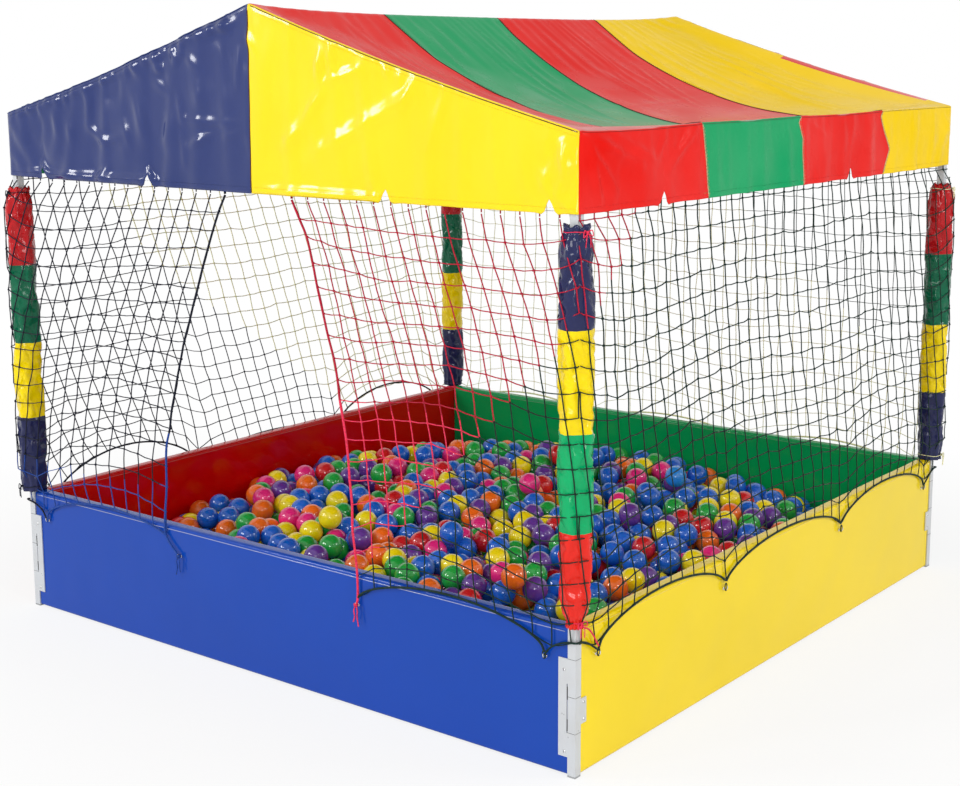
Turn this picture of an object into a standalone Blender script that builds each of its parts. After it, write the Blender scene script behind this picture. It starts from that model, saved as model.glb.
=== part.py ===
"""Ball pit with padded board walls, a lift-off steel canopy, a sewn gable roof cover and hanging nets.

Metres, +Z up. The origin is on the floor at the middle of the pit. The front, with the entrance, faces -Y.
"""

from math import atan2, cos, floor, hypot, pi, sin

import bmesh
import bpy
from mathutils import Matrix, Vector
from mathutils.bvhtree import BVHTree
from mathutils.geometry import delaunay_2d_cdt
import numpy as np

# Driving sizes of the pit
PIT_SIDE = 2.000  # over the outer faces of the corner posts
WALL_TOP = 0.360  # top of the padded walls
WALL_LIFT = 0.006  # the walls hang this far clear of the floor
EAVE_HEIGHT = 1.481  # edge of the roof cover
ROOF_RISE = 0.289  # from the eave up to the ridge at each gable
RIDGE_DIP = 0.018  # fall of the ridge from the gables to its middle
GAP = 0.0003  # between pieces that touch on the real pit

# Steel tube
TUBE = 0.022
TUBE_WALL = 0.0015
PRONG_LENGTH = 0.040
PRONG_ROOT = 0.006  # how far a prong starts inside its block

# Padded walls
FOAM = 0.012
BOARD = 0.015
WALL_END_GAP = 0.0015
WALL_EDGE_RADIUS = 0.008
EDGE_SEGMENTS = 3

# Corner brackets on the front and back walls
PLATE = 0.003
LONG_PLATE_WIDTH = 0.026
LONG_PLATE_LOW = 0.048
KNUCKLE_LOW = 0.108  # joint between the lowest and the middle knuckle
KNUCKLE_MID = 0.195
KNUCKLE_TOP = 0.286  # joint between the top knuckle and the post
NOTCH_WIDTH = 0.0025
NOTCH_TOP = 0.226
WELD = 0.0006  # overlap of welded shapes

# Corner brackets on the side walls
SHORT_PLATE_WIDTH = 0.022
SHORT_PLATE_LOW = 0.127
SHORT_PLATE_TOP = 0.188

# Foot caps
CAP_FLANGE = 0.004
CAP_PLUG = 0.015

# Posts
SPIGOT_LOW = 0.030
SPIGOT_BORE = 0.0154
SPIGOT_SEAT = 0.040  # the spigot's welded length inside the post

# Roof frame
RAIL_DROP = 0.010  # the eave rails lie this far under the edge of the cover
RAFTER_DROP = 0.0215  # the rafters lie this far under the straight line from peak to eave
RAFTER_RAIL_GAP = 0.0010
APEX_WIDTH = 0.026
APEX_MARGIN = 0.013  # how far the apex block reaches below the tubes that meet there
APEX_TOP_DROP = 0.010

# Roof cover
COVER = 0.0020
VALANCE_DEPTH = 0.181
SLOPE_SAG = 0.126
GABLE_SAG = 0.012
SAG_POWER = 2.3
PEAK_POWER = 4
COVER_WIDTH_SHARES = (0, 0.25, 0.5, 0.75, 1)
COVER_LENGTH_SHARES = (-1, -0.875, -0.75, -0.5, -0.25, 0, 0.25, 0.5, 0.75, 0.875, 1)
VENT_WIDTH = 0.026
VENT_HEIGHT = 0.035
GABLE_VENT_SHARES = (-0.84, -0.39, 0.45, 0.93)
VALANCE_VENT_SHARES = (-0.67, 0.31)

# Nets
NET_CORD = 0.0030
NET_HALF_SHARES = (0.11, 0.22, 0.335, 0.485, 0.64, 0.79, 0.93, 1)
NET_COLUMN_SHARES = (*[-s for s in reversed(NET_HALF_SHARES)], 0, *NET_HALF_SHARES)
HINGE_DROP = 0.014  # the entrance flaps swing this far under the valance
HEADER_GAP = 0.0024  # from the hinge line up to the fixed strip of net
SLEEVE_ROW_DROP = 0.037  # row of knots just under the top of the post covers
MIDDLE_ROW_SHARES = (0.2, 0.4, 0.6, 0.8)
WALL_ROW_RISE = 0.065  # row of knots just over the walls
HOOK_DROP = 0.070
SCALLOP = 0.062
HOOK_SHARES = (-0.93, -0.335, 0.335, 0.93)
NET_CORNER_GAP = 0.0030
BULGE_START = 0.080
BULGE_END = 0.500
BULGE_CLEARANCE = 0.0045

# Entrance flaps
FLAP_TOP_SHARES = {"left": -0.105, "right": 0.135}
FLAP_FOOT_SHARES = {"left": -0.385, "right": 0.335}
FLAP_POWERS = {"left": 1.8, "right": 2.2}
FLAP_COLUMN_SHARES = (0, 0.08, 0.26, 0.44, 0.62, 0.81, 1)

# Padded post covers
SLEEVE_RADIUS = 0.040
SLEEVE_DROP = 0.038  # from the valance down to the top of a post cover
SLEEVE_GAP = 0.0007
SLEEVE_SIDES = 12
SLEEVE_TOP_SHARES = ((0.45, 0), (0.62, 0.25), (0.84, 0.9), (0.95, 2), (1, 4.5))  # radius, depth from the end
SLEEVE_FOOT_SHARES = ((1, 4.1), (0.87, 1.9), (0.66, 0.75), (0.45, 0))

# Floor mat and balls
MAT = 0.012
MAT_INSET = 0.004
BALL = 0.070
BALL_SEGMENTS = 12
BALL_RINGS = 8
HEAP_PEAK = 0.280
HEAP_EDGE = 0.100
HEAP_START_SHARE = 0.70
HEAP_END_SHARE = 1.35
HEAP_DEPTH = 0.150  # depth of the balls that are laid out under the top of the heap
HEAP_SEED = 11
PACKING_SHARE = 0.56  # of that room, what the balls take
BALL_PROUD = 0.010  # how far a ball may stand over the heap's even top
SIDE_GAP = 0.001  # between the balls and the walls
LOOSE_RISE = 0.015  # from the heap's top up to the middle of a loose ball
SETTLE_STEPS = 160
PAIR_STEPS = 8
PAIR_REACH_SHARE = 1.3
PUSH_SHARES = (0.35, 0.35, 0.315)
COVERED_SHARE = 0.88  # a ball shows if no higher one lies nearer in plan than this much of a ball
CROWN_SIDES = 4
CROWN_RADIUS = 0.020  # the flat on a ball's crown
CROWN_DROP = 0.004
CROWN_TURN = 2.4  # radians from one crown to the next
DIMPLE = 0.032  # depth between balls that touch
DIMPLE_SPACING_SHARE = 0.27
RIM_SPACING_SHARE = 1.3
DEEPEST = 0.045  # lowest place of the crust's upper side, under the heap's even top
HEAP_CRUST = 0.006  # least thickness under the dimples and at the walls
HOLLOW_STEPS = 8
SEAT_STEPS = 24
LOOSE_BALLS = (
    ("ball_orange", 0.52, -0.60),
    ("ball_blue", 0.16, -0.42),
    ("ball_yellow", -0.22, -0.52),
    ("ball_green", -0.44, -0.05),
    ("ball_pink", 0.02, 0.14),
    ("ball_purple", 0.46, 0.05),
    ("ball_red", -0.14, 0.52),
    ("ball_light_blue", 0.34, 0.50),
)

# Worked out from the sizes above
HALF = PIT_SIDE / 2
POST_AXIS = HALF - TUBE / 2
PEAK_HEIGHT = EAVE_HEIGHT + ROOF_RISE
VALANCE_LOW = EAVE_HEIGHT - VALANCE_DEPTH
BORE = TUBE - 2 * TUBE_WALL
PRONG = BORE - 2 * GAP
OVERRUN = TUBE
WALL_OUT = HALF - PLATE - GAP
WALL_THICKNESS = 2 * FOAM + BOARD + 2 * GAP
WALL_IN = WALL_OUT - WALL_THICKNESS
WALL_END = HALF - TUBE - WALL_END_GAP
NET_PLANE = HALF + GAP + NET_CORD / 2
COVER_HALF = HALF + GAP + NET_CORD + GAP + COVER
SLOPE = ROOF_RISE / COVER_HALF
SLOPE_ANGLE = atan2(ROOF_RISE, COVER_HALF)
BLOCK_FACE = HALF - TUBE
RAFTER_AXIS_TOP = PEAK_HEIGHT - RAFTER_DROP - TUBE / 2 / cos(SLOPE_ANGLE)
RAFTER_AXIS_END = RAFTER_AXIS_TOP - BLOCK_FACE * SLOPE
GABLE_RAIL_AXIS = RAFTER_AXIS_END - TUBE / 2 / cos(SLOPE_ANGLE) - RAFTER_RAIL_GAP - TUBE / 2
EAVE_RAIL_AXIS = EAVE_HEIGHT - RAIL_DROP - TUBE / 2
BLOCK_LOW = GABLE_RAIL_AXIS - TUBE / 2
BLOCK_TOP = EAVE_RAIL_AXIS + TUBE / 2
POST_TOP = BLOCK_LOW - GAP
NET_EDGE = POST_AXIS + SLEEVE_RADIUS + BULGE_CLEARANCE
NET_HINGE = VALANCE_LOW - HINGE_DROP
SLEEVE_TOP = VALANCE_LOW - SLEEVE_DROP
SLEEVE_ROW = SLEEVE_TOP - SLEEVE_ROW_DROP
WALL_ROW = WALL_TOP + WALL_ROW_RISE
HOOK_HEIGHT = WALL_TOP - HOOK_DROP
MIDDLE_ROWS = [SLEEVE_ROW + (WALL_ROW - SLEEVE_ROW) * s for s in MIDDLE_ROW_SHARES]

CORNERS = {"front_left": (-1, -1), "front_right": (1, -1), "back_left": (-1, 1), "back_right": (1, 1)}
SIDES = {"front": 0, "right": 1, "back": 2, "left": 3}  # quarter turns from the front

# Colours as (red, green, blue, roughness, metallic)
FINISHES = {
    "steel_paint": (0.62, 0.63, 0.64, 0.45, 0.6),
    "grey_plastic": (0.45, 0.45, 0.45, 0.6, 0),
    "plywood": (0.55, 0.40, 0.24, 0.8, 0),
    "vinyl_blue": (0.010, 0.060, 0.40, 0.35, 0),
    "vinyl_yellow": (0.95, 0.70, 0.0, 0.35, 0),
    "vinyl_green": (0.0, 0.26, 0.08, 0.35, 0),
    "vinyl_red": (0.62, 0.008, 0.008, 0.35, 0),
    "vinyl_navy": (0.022, 0.035, 0.11, 0.25, 0),
    "cord_navy": (0.015, 0.04, 0.16, 0.8, 0),
    "cord_red": (0.60, 0.02, 0.05, 0.8, 0),
    "cord_green": (0.01, 0.07, 0.06, 0.8, 0),
    "cord_yellow": (0.75, 0.60, 0.10, 0.8, 0),
    "mat_grey": (0.20, 0.21, 0.23, 0.8, 0),
    "ball_mix": (0.10, 0.20, 0.45, 0.2, 0),
    "ball_orange": (0.90, 0.20, 0.02, 0.2, 0),
    "ball_blue": (0.01, 0.10, 0.50, 0.2, 0),
    "ball_yellow": (0.95, 0.70, 0.02, 0.2, 0),
    "ball_green": (0.02, 0.35, 0.05, 0.2, 0),
    "ball_pink": (0.75, 0.03, 0.25, 0.2, 0),
    "ball_purple": (0.10, 0.05, 0.25, 0.2, 0),
    "ball_red": (0.60, 0.02, 0.02, 0.2, 0),
    "ball_light_blue": (0.03, 0.25, 0.70, 0.2, 0),
}
WALL_FINISHES = {"front": "vinyl_blue", "right": "vinyl_yellow", "back": "vinyl_green", "left": "vinyl_red"}
RIGHT_STRIPES = ("vinyl_red", "vinyl_green", "vinyl_red", "vinyl_yellow")
LEFT_STRIPES = ("vinyl_green", "vinyl_red", "vinyl_green", "vinyl_navy")
GABLE_HALVES = {"front": ("vinyl_navy", "vinyl_yellow"), "back": ("vinyl_green", "vinyl_red")}
SLEEVE_BANDS = {
    "front_right": ("vinyl_red", "vinyl_green", "vinyl_yellow", "vinyl_navy"),
    "front_left": ("vinyl_navy", "vinyl_yellow", "vinyl_green", "vinyl_red"),
    "back_right": ("vinyl_navy", "vinyl_yellow", "vinyl_green", "vinyl_red"),
    "back_left": ("vinyl_navy", "vinyl_yellow", "vinyl_green", "vinyl_red"),
}

for old in list(bpy.data.objects):
    bpy.data.objects.remove(old, do_unlink=True)
pit = bpy.data.collections.new("ball_pit")
cutters = bpy.data.collections.new("cutters")
bpy.context.scene.collection.children.link(pit)
bpy.context.scene.collection.children.link(cutters)
cutters.hide_render = True


def finish(name):
    """The Principled material of this name, made once."""
    if name in bpy.data.materials:
        return bpy.data.materials[name]
    made = bpy.data.materials.new(name)
    made.use_nodes = True
    red, green, blue, roughness, metallic = FINISHES[name]
    shader = made.node_tree.nodes["Principled BSDF"]
    shader.inputs["Base Color"].default_value = (red, green, blue, 1)
    shader.inputs["Roughness"].default_value = roughness
    shader.inputs["Metallic"].default_value = metallic
    made.diffuse_color = (red, green, blue, 1)
    return made


def new_object(name, shape, finishes=(), collection=pit):
    """An object holding this bmesh, with one material slot for each finish."""
    mesh = bpy.data.meshes.new(name)
    shape.to_mesh(mesh)
    shape.free()
    made = bpy.data.objects.new(name, mesh)
    collection.objects.link(made)
    for each in finishes:
        mesh.materials.append(finish(each))
    return made


def box_shape(low, high):
    """A cube between two corners, in world places."""
    shape = bmesh.new()
    size = [b - a for a, b in zip(low, high)]
    middle = [(a + b) / 2 for a, b in zip(low, high)]
    bmesh.ops.create_cube(shape, size=1, matrix=Matrix.Translation(middle) @ Matrix.Diagonal((*size, 1)))
    return shape


def prism_shape(outline, low, high):
    """A flat outline in plan, raised from low to high."""
    shape = bmesh.new()
    base = shape.faces.new([shape.verts.new((x, y, low)) for x, y in outline])
    raised = bmesh.ops.extrude_face_region(shape, geom=[base])["geom"]
    tops = [v for v in raised if isinstance(v, bmesh.types.BMVert)]
    bmesh.ops.translate(shape, verts=tops, vec=(0, 0, high - low))
    bmesh.ops.recalc_face_normals(shape, faces=shape.faces[:])
    return shape


def helper(name, shape):
    """A hidden shape that a Boolean reads."""
    made = new_object(name, shape, collection=cutters)
    made.hide_render = True
    made.display_type = "WIRE"
    return made


def boolean(target, other, operation):
    made = target.modifiers.new(f"{operation.lower()}_{other.name}", "BOOLEAN")
    made.operation = operation
    made.solver = "EXACT"
    made.object = other


def built_up(name, adds, cuts, finish_name):
    """The union of the first list of shapes, less the second list."""
    body = new_object(name, adds[0], [finish_name])
    for n, shape in enumerate(adds[1:]):
        boolean(body, helper(f"{name}_add_{n}", shape), "UNION")
    for n, shape in enumerate(cuts):
        boolean(body, helper(f"{name}_cut_{n}", shape), "DIFFERENCE")
    return body


def corner_box(signs, across, along, heights):
    """A box at a corner. across and along are distances inwards from the post's outer faces, in X and Y."""
    xs = sorted(signs[0] * (HALF - d) for d in across)
    ys = sorted(signs[1] * (HALF - d) for d in along)
    return box_shape((xs[0], ys[0], heights[0]), (xs[1], ys[1], heights[1]))


def square_tube(name, length, middle, matrix, finish_name="steel_paint"):
    """A hollow square tube along its own X, open at both ends."""
    half = TUBE / 2
    shape = box_shape((-length / 2, -half, -half), (length / 2, half, half))
    ends = [f for f in shape.faces if abs(f.normal.x) > abs(f.normal.y) + abs(f.normal.z)]
    bmesh.ops.delete(shape, geom=ends, context="FACES_ONLY")
    tube = new_object(name, shape, [finish_name])
    shell = tube.modifiers.new("wall", "SOLIDIFY")
    shell.thickness = TUBE_WALL
    shell.offset = -1
    shell.use_even_offset = True
    tube.matrix_world = Matrix.Translation(middle) @ matrix
    return tube


def pad_outline():
    """Plan of a padded wall: square at the post, then mitred to its neighbours."""
    mitre = WALL_IN - GAP
    half_plan = [(WALL_END, -WALL_OUT), (WALL_END, -WALL_END - GAP), (mitre, -WALL_IN)]
    return half_plan + [(-x, y) for x, y in reversed(half_plan)]


def wall_pad(side, turns, finish_name):
    """The foam and vinyl jacket of a wall, open underneath where the board goes in."""
    shape = prism_shape(pad_outline(), WALL_LIFT, WALL_TOP)
    rims = [e for e in shape.edges if all(v.co.z > WALL_TOP - GAP for v in e.verts)]
    bmesh.ops.bevel(
        shape, geom=rims, offset=WALL_EDGE_RADIUS, segments=EDGE_SEGMENTS, profile=0.5, affect="EDGES"
    )
    pad = new_object(f"wall_pad_{side}", shape, [finish_name])
    reach = board_reach() + GAP
    low = (-reach, -WALL_OUT + FOAM, WALL_LIFT - OVERRUN)
    high = (reach, -WALL_IN - FOAM, WALL_TOP - FOAM)
    pocket = helper(f"wall_pocket_{side}", box_shape(low, high))
    turn = Matrix.Rotation(turns * pi / 2, 4, "Z")
    pad.matrix_world = turn
    pocket.matrix_world = turn
    boolean(pad, pocket, "DIFFERENCE")


def board_reach():
    """Half the length of the board inside a wall."""
    return WALL_IN - FOAM + GAP


def wall_board(side, turns):
    low = (-board_reach(), -WALL_OUT + FOAM + GAP, WALL_LIFT)
    high = (board_reach(), -WALL_IN - FOAM - GAP, WALL_TOP - FOAM - GAP)
    board = new_object(f"wall_board_{side}", box_shape(low, high), ["plywood"])
    board.matrix_world = Matrix.Rotation(turns * pi / 2, 4, "Z")


def long_bracket(corner, signs):
    """Plate on the front or back wall, with the top and the bottom knuckle welded to it."""
    plate_side = (TUBE - WELD, TUBE + LONG_PLATE_WIDTH)
    plate = corner_box(signs, plate_side, (0, PLATE), (LONG_PLATE_LOW, KNUCKLE_TOP - GAP))
    top = corner_box(signs, (0, TUBE), (0, TUBE), (KNUCKLE_MID + GAP, KNUCKLE_TOP - GAP))
    foot = corner_box(signs, (0, TUBE), (0, TUBE), (CAP_FLANGE + GAP, KNUCKLE_LOW - GAP))
    wall = (TUBE_WALL, TUBE - TUBE_WALL)
    bore = corner_box(signs, wall, wall, (-OVERRUN, KNUCKLE_TOP + OVERRUN))
    slot_side = (TUBE - OVERRUN, TUBE + GAP)
    slot = corner_box(signs, slot_side, (-OVERRUN, TUBE), (KNUCKLE_LOW - GAP, KNUCKLE_MID + GAP))
    notch_side = (TUBE, TUBE + NOTCH_WIDTH)
    notch = corner_box(signs, notch_side, (-OVERRUN, PLATE + GAP), (KNUCKLE_LOW - GAP, NOTCH_TOP))
    built_up(f"long_bracket_{corner}", [plate, top, foot], [bore, slot, notch], "steel_paint")


def short_bracket(corner, signs):
    """Plate on the side wall, with the middle knuckle welded to it."""
    plate = corner_box(
        signs, (0, PLATE), (TUBE - WELD, TUBE + SHORT_PLATE_WIDTH), (SHORT_PLATE_LOW, SHORT_PLATE_TOP)
    )
    knuckle = corner_box(signs, (0, TUBE), (0, TUBE), (KNUCKLE_LOW + GAP, KNUCKLE_MID - GAP))
    wall = (TUBE_WALL, TUBE - TUBE_WALL)
    bore = corner_box(signs, wall, wall, (KNUCKLE_LOW - OVERRUN, KNUCKLE_MID + OVERRUN))
    built_up(f"short_bracket_{corner}", [knuckle, plate], [bore], "steel_paint")


def foot_cap(corner, signs):
    """Plastic cap that closes the lowest knuckle and stands on the floor."""
    flange = corner_box(signs, (0, TUBE), (0, TUBE), (0, CAP_FLANGE))
    wall = (TUBE_WALL + GAP, TUBE - TUBE_WALL - GAP)
    plug = corner_box(signs, wall, wall, (CAP_FLANGE - WELD, CAP_FLANGE + CAP_PLUG))
    built_up(f"foot_cap_{corner}", [flange, plug], [], "grey_plastic")


def post(corner, signs):
    """Corner post with its narrower spigot, which runs down through all three knuckles."""
    tube = corner_box(signs, (0, TUBE), (0, TUBE), (KNUCKLE_TOP + GAP, POST_TOP))
    fit = (TUBE_WALL + GAP, TUBE - TUBE_WALL - GAP)
    spigot = corner_box(signs, fit, fit, (SPIGOT_LOW, KNUCKLE_TOP + SPIGOT_SEAT))
    inner = (TUBE / 2 - SPIGOT_BORE / 2, TUBE / 2 + SPIGOT_BORE / 2)
    bore = corner_box(signs, inner, inner, (SPIGOT_LOW - OVERRUN, KNUCKLE_TOP + SPIGOT_SEAT + OVERRUN))
    wall = (TUBE_WALL, TUBE - TUBE_WALL)
    hollow = corner_box(signs, wall, wall, (KNUCKLE_TOP + SPIGOT_SEAT, POST_TOP + OVERRUN))
    built_up(f"post_{corner}", [tube, spigot], [bore, hollow], "steel_paint")


def prong_shape(start, direction, up):
    """A square prong from a block, along a direction."""
    half = PRONG / 2
    length = PRONG_ROOT + PRONG_LENGTH
    shape = box_shape((0, -half, -half), (length, half, half))
    x = Vector(direction).normalized()
    y = Vector(up).cross(x).normalized()
    turn = Matrix((x, y, x.cross(y))).transposed().to_4x4()
    place = Matrix.Translation(Vector(start) - x * PRONG_ROOT) @ turn
    bmesh.ops.transform(shape, matrix=place, verts=shape.verts[:])
    return shape


def corner_connector(corner, signs):
    """Block at the eave with prongs into the post, both rails and the rafter."""
    sx, sy = signs
    block = corner_box(signs, (0, TUBE), (0, TUBE), (BLOCK_LOW, BLOCK_TOP))
    x, y = sx * POST_AXIS, sy * POST_AXIS
    prongs = [
        prong_shape((x, y, BLOCK_LOW), (0, 0, -1), (0, 1, 0)),
        prong_shape((sx * BLOCK_FACE, y, GABLE_RAIL_AXIS), (-sx, 0, 0), (0, 0, 1)),
        prong_shape((x, sy * BLOCK_FACE, EAVE_RAIL_AXIS), (0, -sy, 0), (0, 0, 1)),
        prong_shape((sx * BLOCK_FACE, y, RAFTER_AXIS_END), (-sx, 0, SLOPE), (0, 1, 0)),
    ]
    built_up(f"corner_connector_{corner}", [block] + prongs, [], "steel_paint")


def apex_connector(end, sy):
    """Block at the gable's peak with prongs into both rafters and the ridge pole."""
    half = APEX_WIDTH / 2
    ys = sorted((sy * BLOCK_FACE, sy * HALF))
    y = sy * POST_AXIS
    meet = RAFTER_AXIS_TOP - half * SLOPE
    low = (-half, ys[0], min(meet, ridge_axis()) - TUBE / 2 - APEX_MARGIN)
    high = (half, ys[1], PEAK_HEIGHT - APEX_TOP_DROP)
    prongs = [
        prong_shape((half, y, meet), (1, 0, -SLOPE), (0, 1, 0)),
        prong_shape((-half, y, meet), (-1, 0, -SLOPE), (0, 1, 0)),
        prong_shape((0, sy * BLOCK_FACE, ridge_axis()), (0, -sy, 0), (0, 0, 1)),
    ]
    built_up(f"apex_connector_{end}", [box_shape(low, high)] + prongs, [], "steel_paint")


def rafter(corner, signs):
    """Sloping tube of a gable, between the corner and the apex blocks."""
    sx, sy = signs
    lean = TUBE / 2 * sin(SLOPE_ANGLE) + GAP
    start = APEX_WIDTH / 2 + lean
    end = BLOCK_FACE - lean
    middle = (start + end) / 2
    turn = Matrix.Rotation(sx * SLOPE_ANGLE, 4, "Y")
    place = (sx * middle, sy * POST_AXIS, RAFTER_AXIS_TOP - middle * SLOPE)
    square_tube(f"rafter_{corner}", (end - start) / cos(SLOPE_ANGLE), place, turn)


def rails():
    """The level tubes between the blocks."""
    length = 2 * (BLOCK_FACE - GAP)
    along_y = Matrix.Rotation(pi / 2, 4, "Z")
    for name, sx in (("left", -1), ("right", 1)):
        square_tube(f"eave_rail_{name}", length, (sx * POST_AXIS, 0, EAVE_RAIL_AXIS), along_y)
    for name, sy in (("front", -1), ("back", 1)):
        square_tube(f"gable_rail_{name}", length, (0, sy * POST_AXIS, GABLE_RAIL_AXIS), Matrix())
    square_tube("ridge_pole", length, (0, 0, ridge_axis()), along_y)


def cover_height(x_share, y_share):
    """Height of the roof cover's outer face, which hangs between the ridge and the eave."""
    across = abs(x_share)
    along = abs(y_share)
    ridge = PEAK_HEIGHT - RIDGE_DIP * (1 - along**PEAK_POWER)
    sag = GABLE_SAG + (SLOPE_SAG - GABLE_SAG) * (1 - along**SAG_POWER)
    return ridge + (EAVE_HEIGHT - ridge) * across - sag * 4 * across * (1 - across)


def ridge_axis():
    """The ridge pole lies with its upper edges just under the cover."""
    first = COVER_WIDTH_SHARES[1]
    fall = (cover_height(0, 0) - cover_height(first, 0)) / (first * COVER_HALF)
    return cover_height(0, 0) - fall * TUBE / 2 - COVER * hypot(1, fall) - GAP - TUBE / 2


def vented_edge(start, end, fixed_axis, fixed, vents):
    """Bottom edge of a valance strip from start to end, with the notches that lie in it."""
    points = [(start, VALANCE_LOW)]
    for middle in vents:
        left, right = middle - VENT_WIDTH / 2, middle + VENT_WIDTH / 2
        if start < left and right < end:
            points += [(left, VALANCE_LOW), (middle, VALANCE_LOW + VENT_HEIGHT), (right, VALANCE_LOW)]
    points.append((end, VALANCE_LOW))
    return [(p, fixed, z) if fixed_axis == "y" else (fixed, p, z) for p, z in points]


def roof_cover():
    """One sewn sheet: two sagging slopes, two gables and the valance all round."""
    shape = bmesh.new()
    known = {}

    def corner(place):
        key = tuple(round(c, 6) for c in place)
        if key not in known:
            known[key] = shape.verts.new(place)
        return known[key]

    def face(places, name):
        made = shape.faces.new([corner(p) for p in places])
        made.material_index = names.index(name)

    names = ["vinyl_red", "vinyl_green", "vinyl_yellow", "vinyl_navy"]
    xs = [-s for s in reversed(COVER_WIDTH_SHARES[1:])] + list(COVER_WIDTH_SHARES)
    ys = COVER_LENGTH_SHARES

    def top(x_share, y_share):
        return (x_share * COVER_HALF, y_share * COVER_HALF, cover_height(x_share, y_share))

    for y0, y1 in zip(ys, ys[1:]):
        stripe = floor((y0 + y1 + 2) / 4 * len(RIGHT_STRIPES))
        for x0, x1 in zip(xs, xs[1:]):
            stripes = RIGHT_STRIPES if x1 > 0 else LEFT_STRIPES
            face([top(x0, y0), top(x1, y0), top(x1, y1), top(x0, y1)], stripes[stripe])
        vents = [s * HALF for s in VALANCE_VENT_SHARES]
        for side, stripes in ((1, RIGHT_STRIPES), (-1, LEFT_STRIPES)):
            low = vented_edge(y0 * COVER_HALF, y1 * COVER_HALF, "x", side * COVER_HALF, vents)
            face(low + [top(side, y1), top(side, y0)], stripes[stripe])
    for end, y in (("front", -1), ("back", 1)):
        vents = [s * HALF for s in GABLE_VENT_SHARES]
        for x0, x1 in zip(xs, xs[1:]):
            low = vented_edge(x0 * COVER_HALF, x1 * COVER_HALF, "y", y * COVER_HALF, vents)
            half = GABLE_HALVES[end][1 if x1 > 0 else 0]
            face(low + [top(x1, y), top(x0, y)], half)
    bmesh.ops.recalc_face_normals(shape, faces=shape.faces[:])
    cover = new_object("roof_cover", shape, names)
    shell = cover.modifiers.new("cloth", "SOLIDIFY")
    shell.thickness = COVER
    shell.offset = -1
    shell.use_even_offset = True


def sleeve(corner, signs):
    """Padded cover of a post, drawn in at both ends, in four bands."""
    low = WALL_TOP + SLEEVE_GAP
    length = SLEEVE_TOP - low
    bands = SLEEVE_BANDS[corner]
    rings = [(r * SLEEVE_RADIUS, SLEEVE_TOP - d * SLEEVE_RADIUS) for r, d in SLEEVE_TOP_SHARES]
    rings += [(SLEEVE_RADIUS, low + length * n / len(bands)) for n in range(1, len(bands))]
    rings += [(r * SLEEVE_RADIUS, low + d * SLEEVE_RADIUS) for r, d in SLEEVE_FOOT_SHARES]
    rings.sort(key=lambda ring: -ring[1])
    profile = [(0, SLEEVE_TOP), *rings, (0, low)]
    shape = bmesh.new()
    points = [shape.verts.new((r, 0, z)) for r, z in profile]
    outline = [shape.edges.new((a, b)) for a, b in zip(points, points[1:])]
    bmesh.ops.spin(
        shape, geom=points + outline, axis=(0, 0, 1), angle=2 * pi, steps=SLEEVE_SIDES, use_merge=True
    )
    bmesh.ops.remove_doubles(shape, verts=shape.verts[:], dist=GAP)
    bmesh.ops.recalc_face_normals(shape, faces=shape.faces[:])
    for face in shape.faces:
        band = floor((face.calc_center_median().z - low) / length * len(bands))
        face.material_index = min(max(band, 0), len(bands) - 1)
    made = new_object(f"post_cover_{corner}", shape, bands)
    made.location = (signs[0] * POST_AXIS, signs[1] * POST_AXIS, 0)
    fit = (-GAP, TUBE + GAP)
    bore = corner_box(signs, fit, fit, (low - OVERRUN, SLEEVE_TOP + OVERRUN))
    boolean(made, helper(f"post_cover_bore_{corner}", bore), "DIFFERENCE")


def net_bulge(from_corner, height):
    """How far a net stands out of its plane, where it passes over a post cover."""
    most = NET_EDGE - NET_PLANE
    along = min(max((BULGE_END - from_corner) / (BULGE_END - BULGE_START), 0), 1)
    rise = min(max((NET_HINGE - height) / (NET_HINGE - SLEEVE_ROW), 0), 1)
    fall = min(max((height - WALL_TOP) / (WALL_ROW - WALL_TOP), 0), 1)
    return most * along * min(rise, fall)


def hem_height(along):
    """The lower edge of a net dips to its hooks and rises between them."""
    spots = [s * HALF for s in HOOK_SHARES]
    inside = [(a, b) for a, b in zip(spots, spots[1:]) if a <= along <= b]
    if not inside:
        return HOOK_HEIGHT
    a, b = inside[0]
    return HOOK_HEIGHT + SCALLOP * sin(pi * (along - a) / (b - a))


def net(name, rows, columns, place, finish_name):
    """A net of square cords, from a grid of places."""
    shape = bmesh.new()
    knots = [[shape.verts.new(place(c, r)) for c in columns] for r in rows]
    for upper, lower in zip(knots, knots[1:]):
        for n in range(len(columns) - 1):
            shape.faces.new((upper[n], lower[n], lower[n + 1], upper[n + 1]))
    made = new_object(name, shape, [finish_name])
    cords = made.modifiers.new("cords", "WIREFRAME")
    cords.thickness = NET_CORD
    cords.use_boundary = True
    cords.use_replace = True
    cords.use_even_offset = False
    cords.use_relative_offset = False
    return made


def net_reach(height):
    """Half the width of a net at this height, just short of the net round the corner."""
    return NET_PLANE + net_bulge(0, height) - NET_CORNER_GAP


def side_net(side, finish_name):
    """A net that hangs from a rail and is hooked to the outside of its wall."""
    level = GABLE_RAIL_AXIS if side == "back" else EAVE_RAIL_AXIS
    rows = (level, NET_HINGE, SLEEVE_ROW, *MIDDLE_ROWS, WALL_ROW, HOOK_HEIGHT)

    def place(column, row):
        along = column * net_reach(row)
        height = hem_height(along) if row == HOOK_HEIGHT else row
        return (along, -NET_PLANE - net_bulge(NET_EDGE - abs(along), height), height)

    made = net(f"net_{side}", rows, NET_COLUMN_SHARES, place, finish_name)
    made.matrix_world = Matrix.Rotation(SIDES[side] * pi / 2, 4, "Z")


def net_header():
    """The strip of the front net that stays behind the gable's lower edge."""
    low = NET_HINGE + HEADER_GAP + NET_CORD / 2

    def place(column, row):
        return (column * net_reach(row), -NET_PLANE, row)

    net("net_header_front", (GABLE_RAIL_AXIS, low), NET_COLUMN_SHARES, place, "cord_navy")


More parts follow.
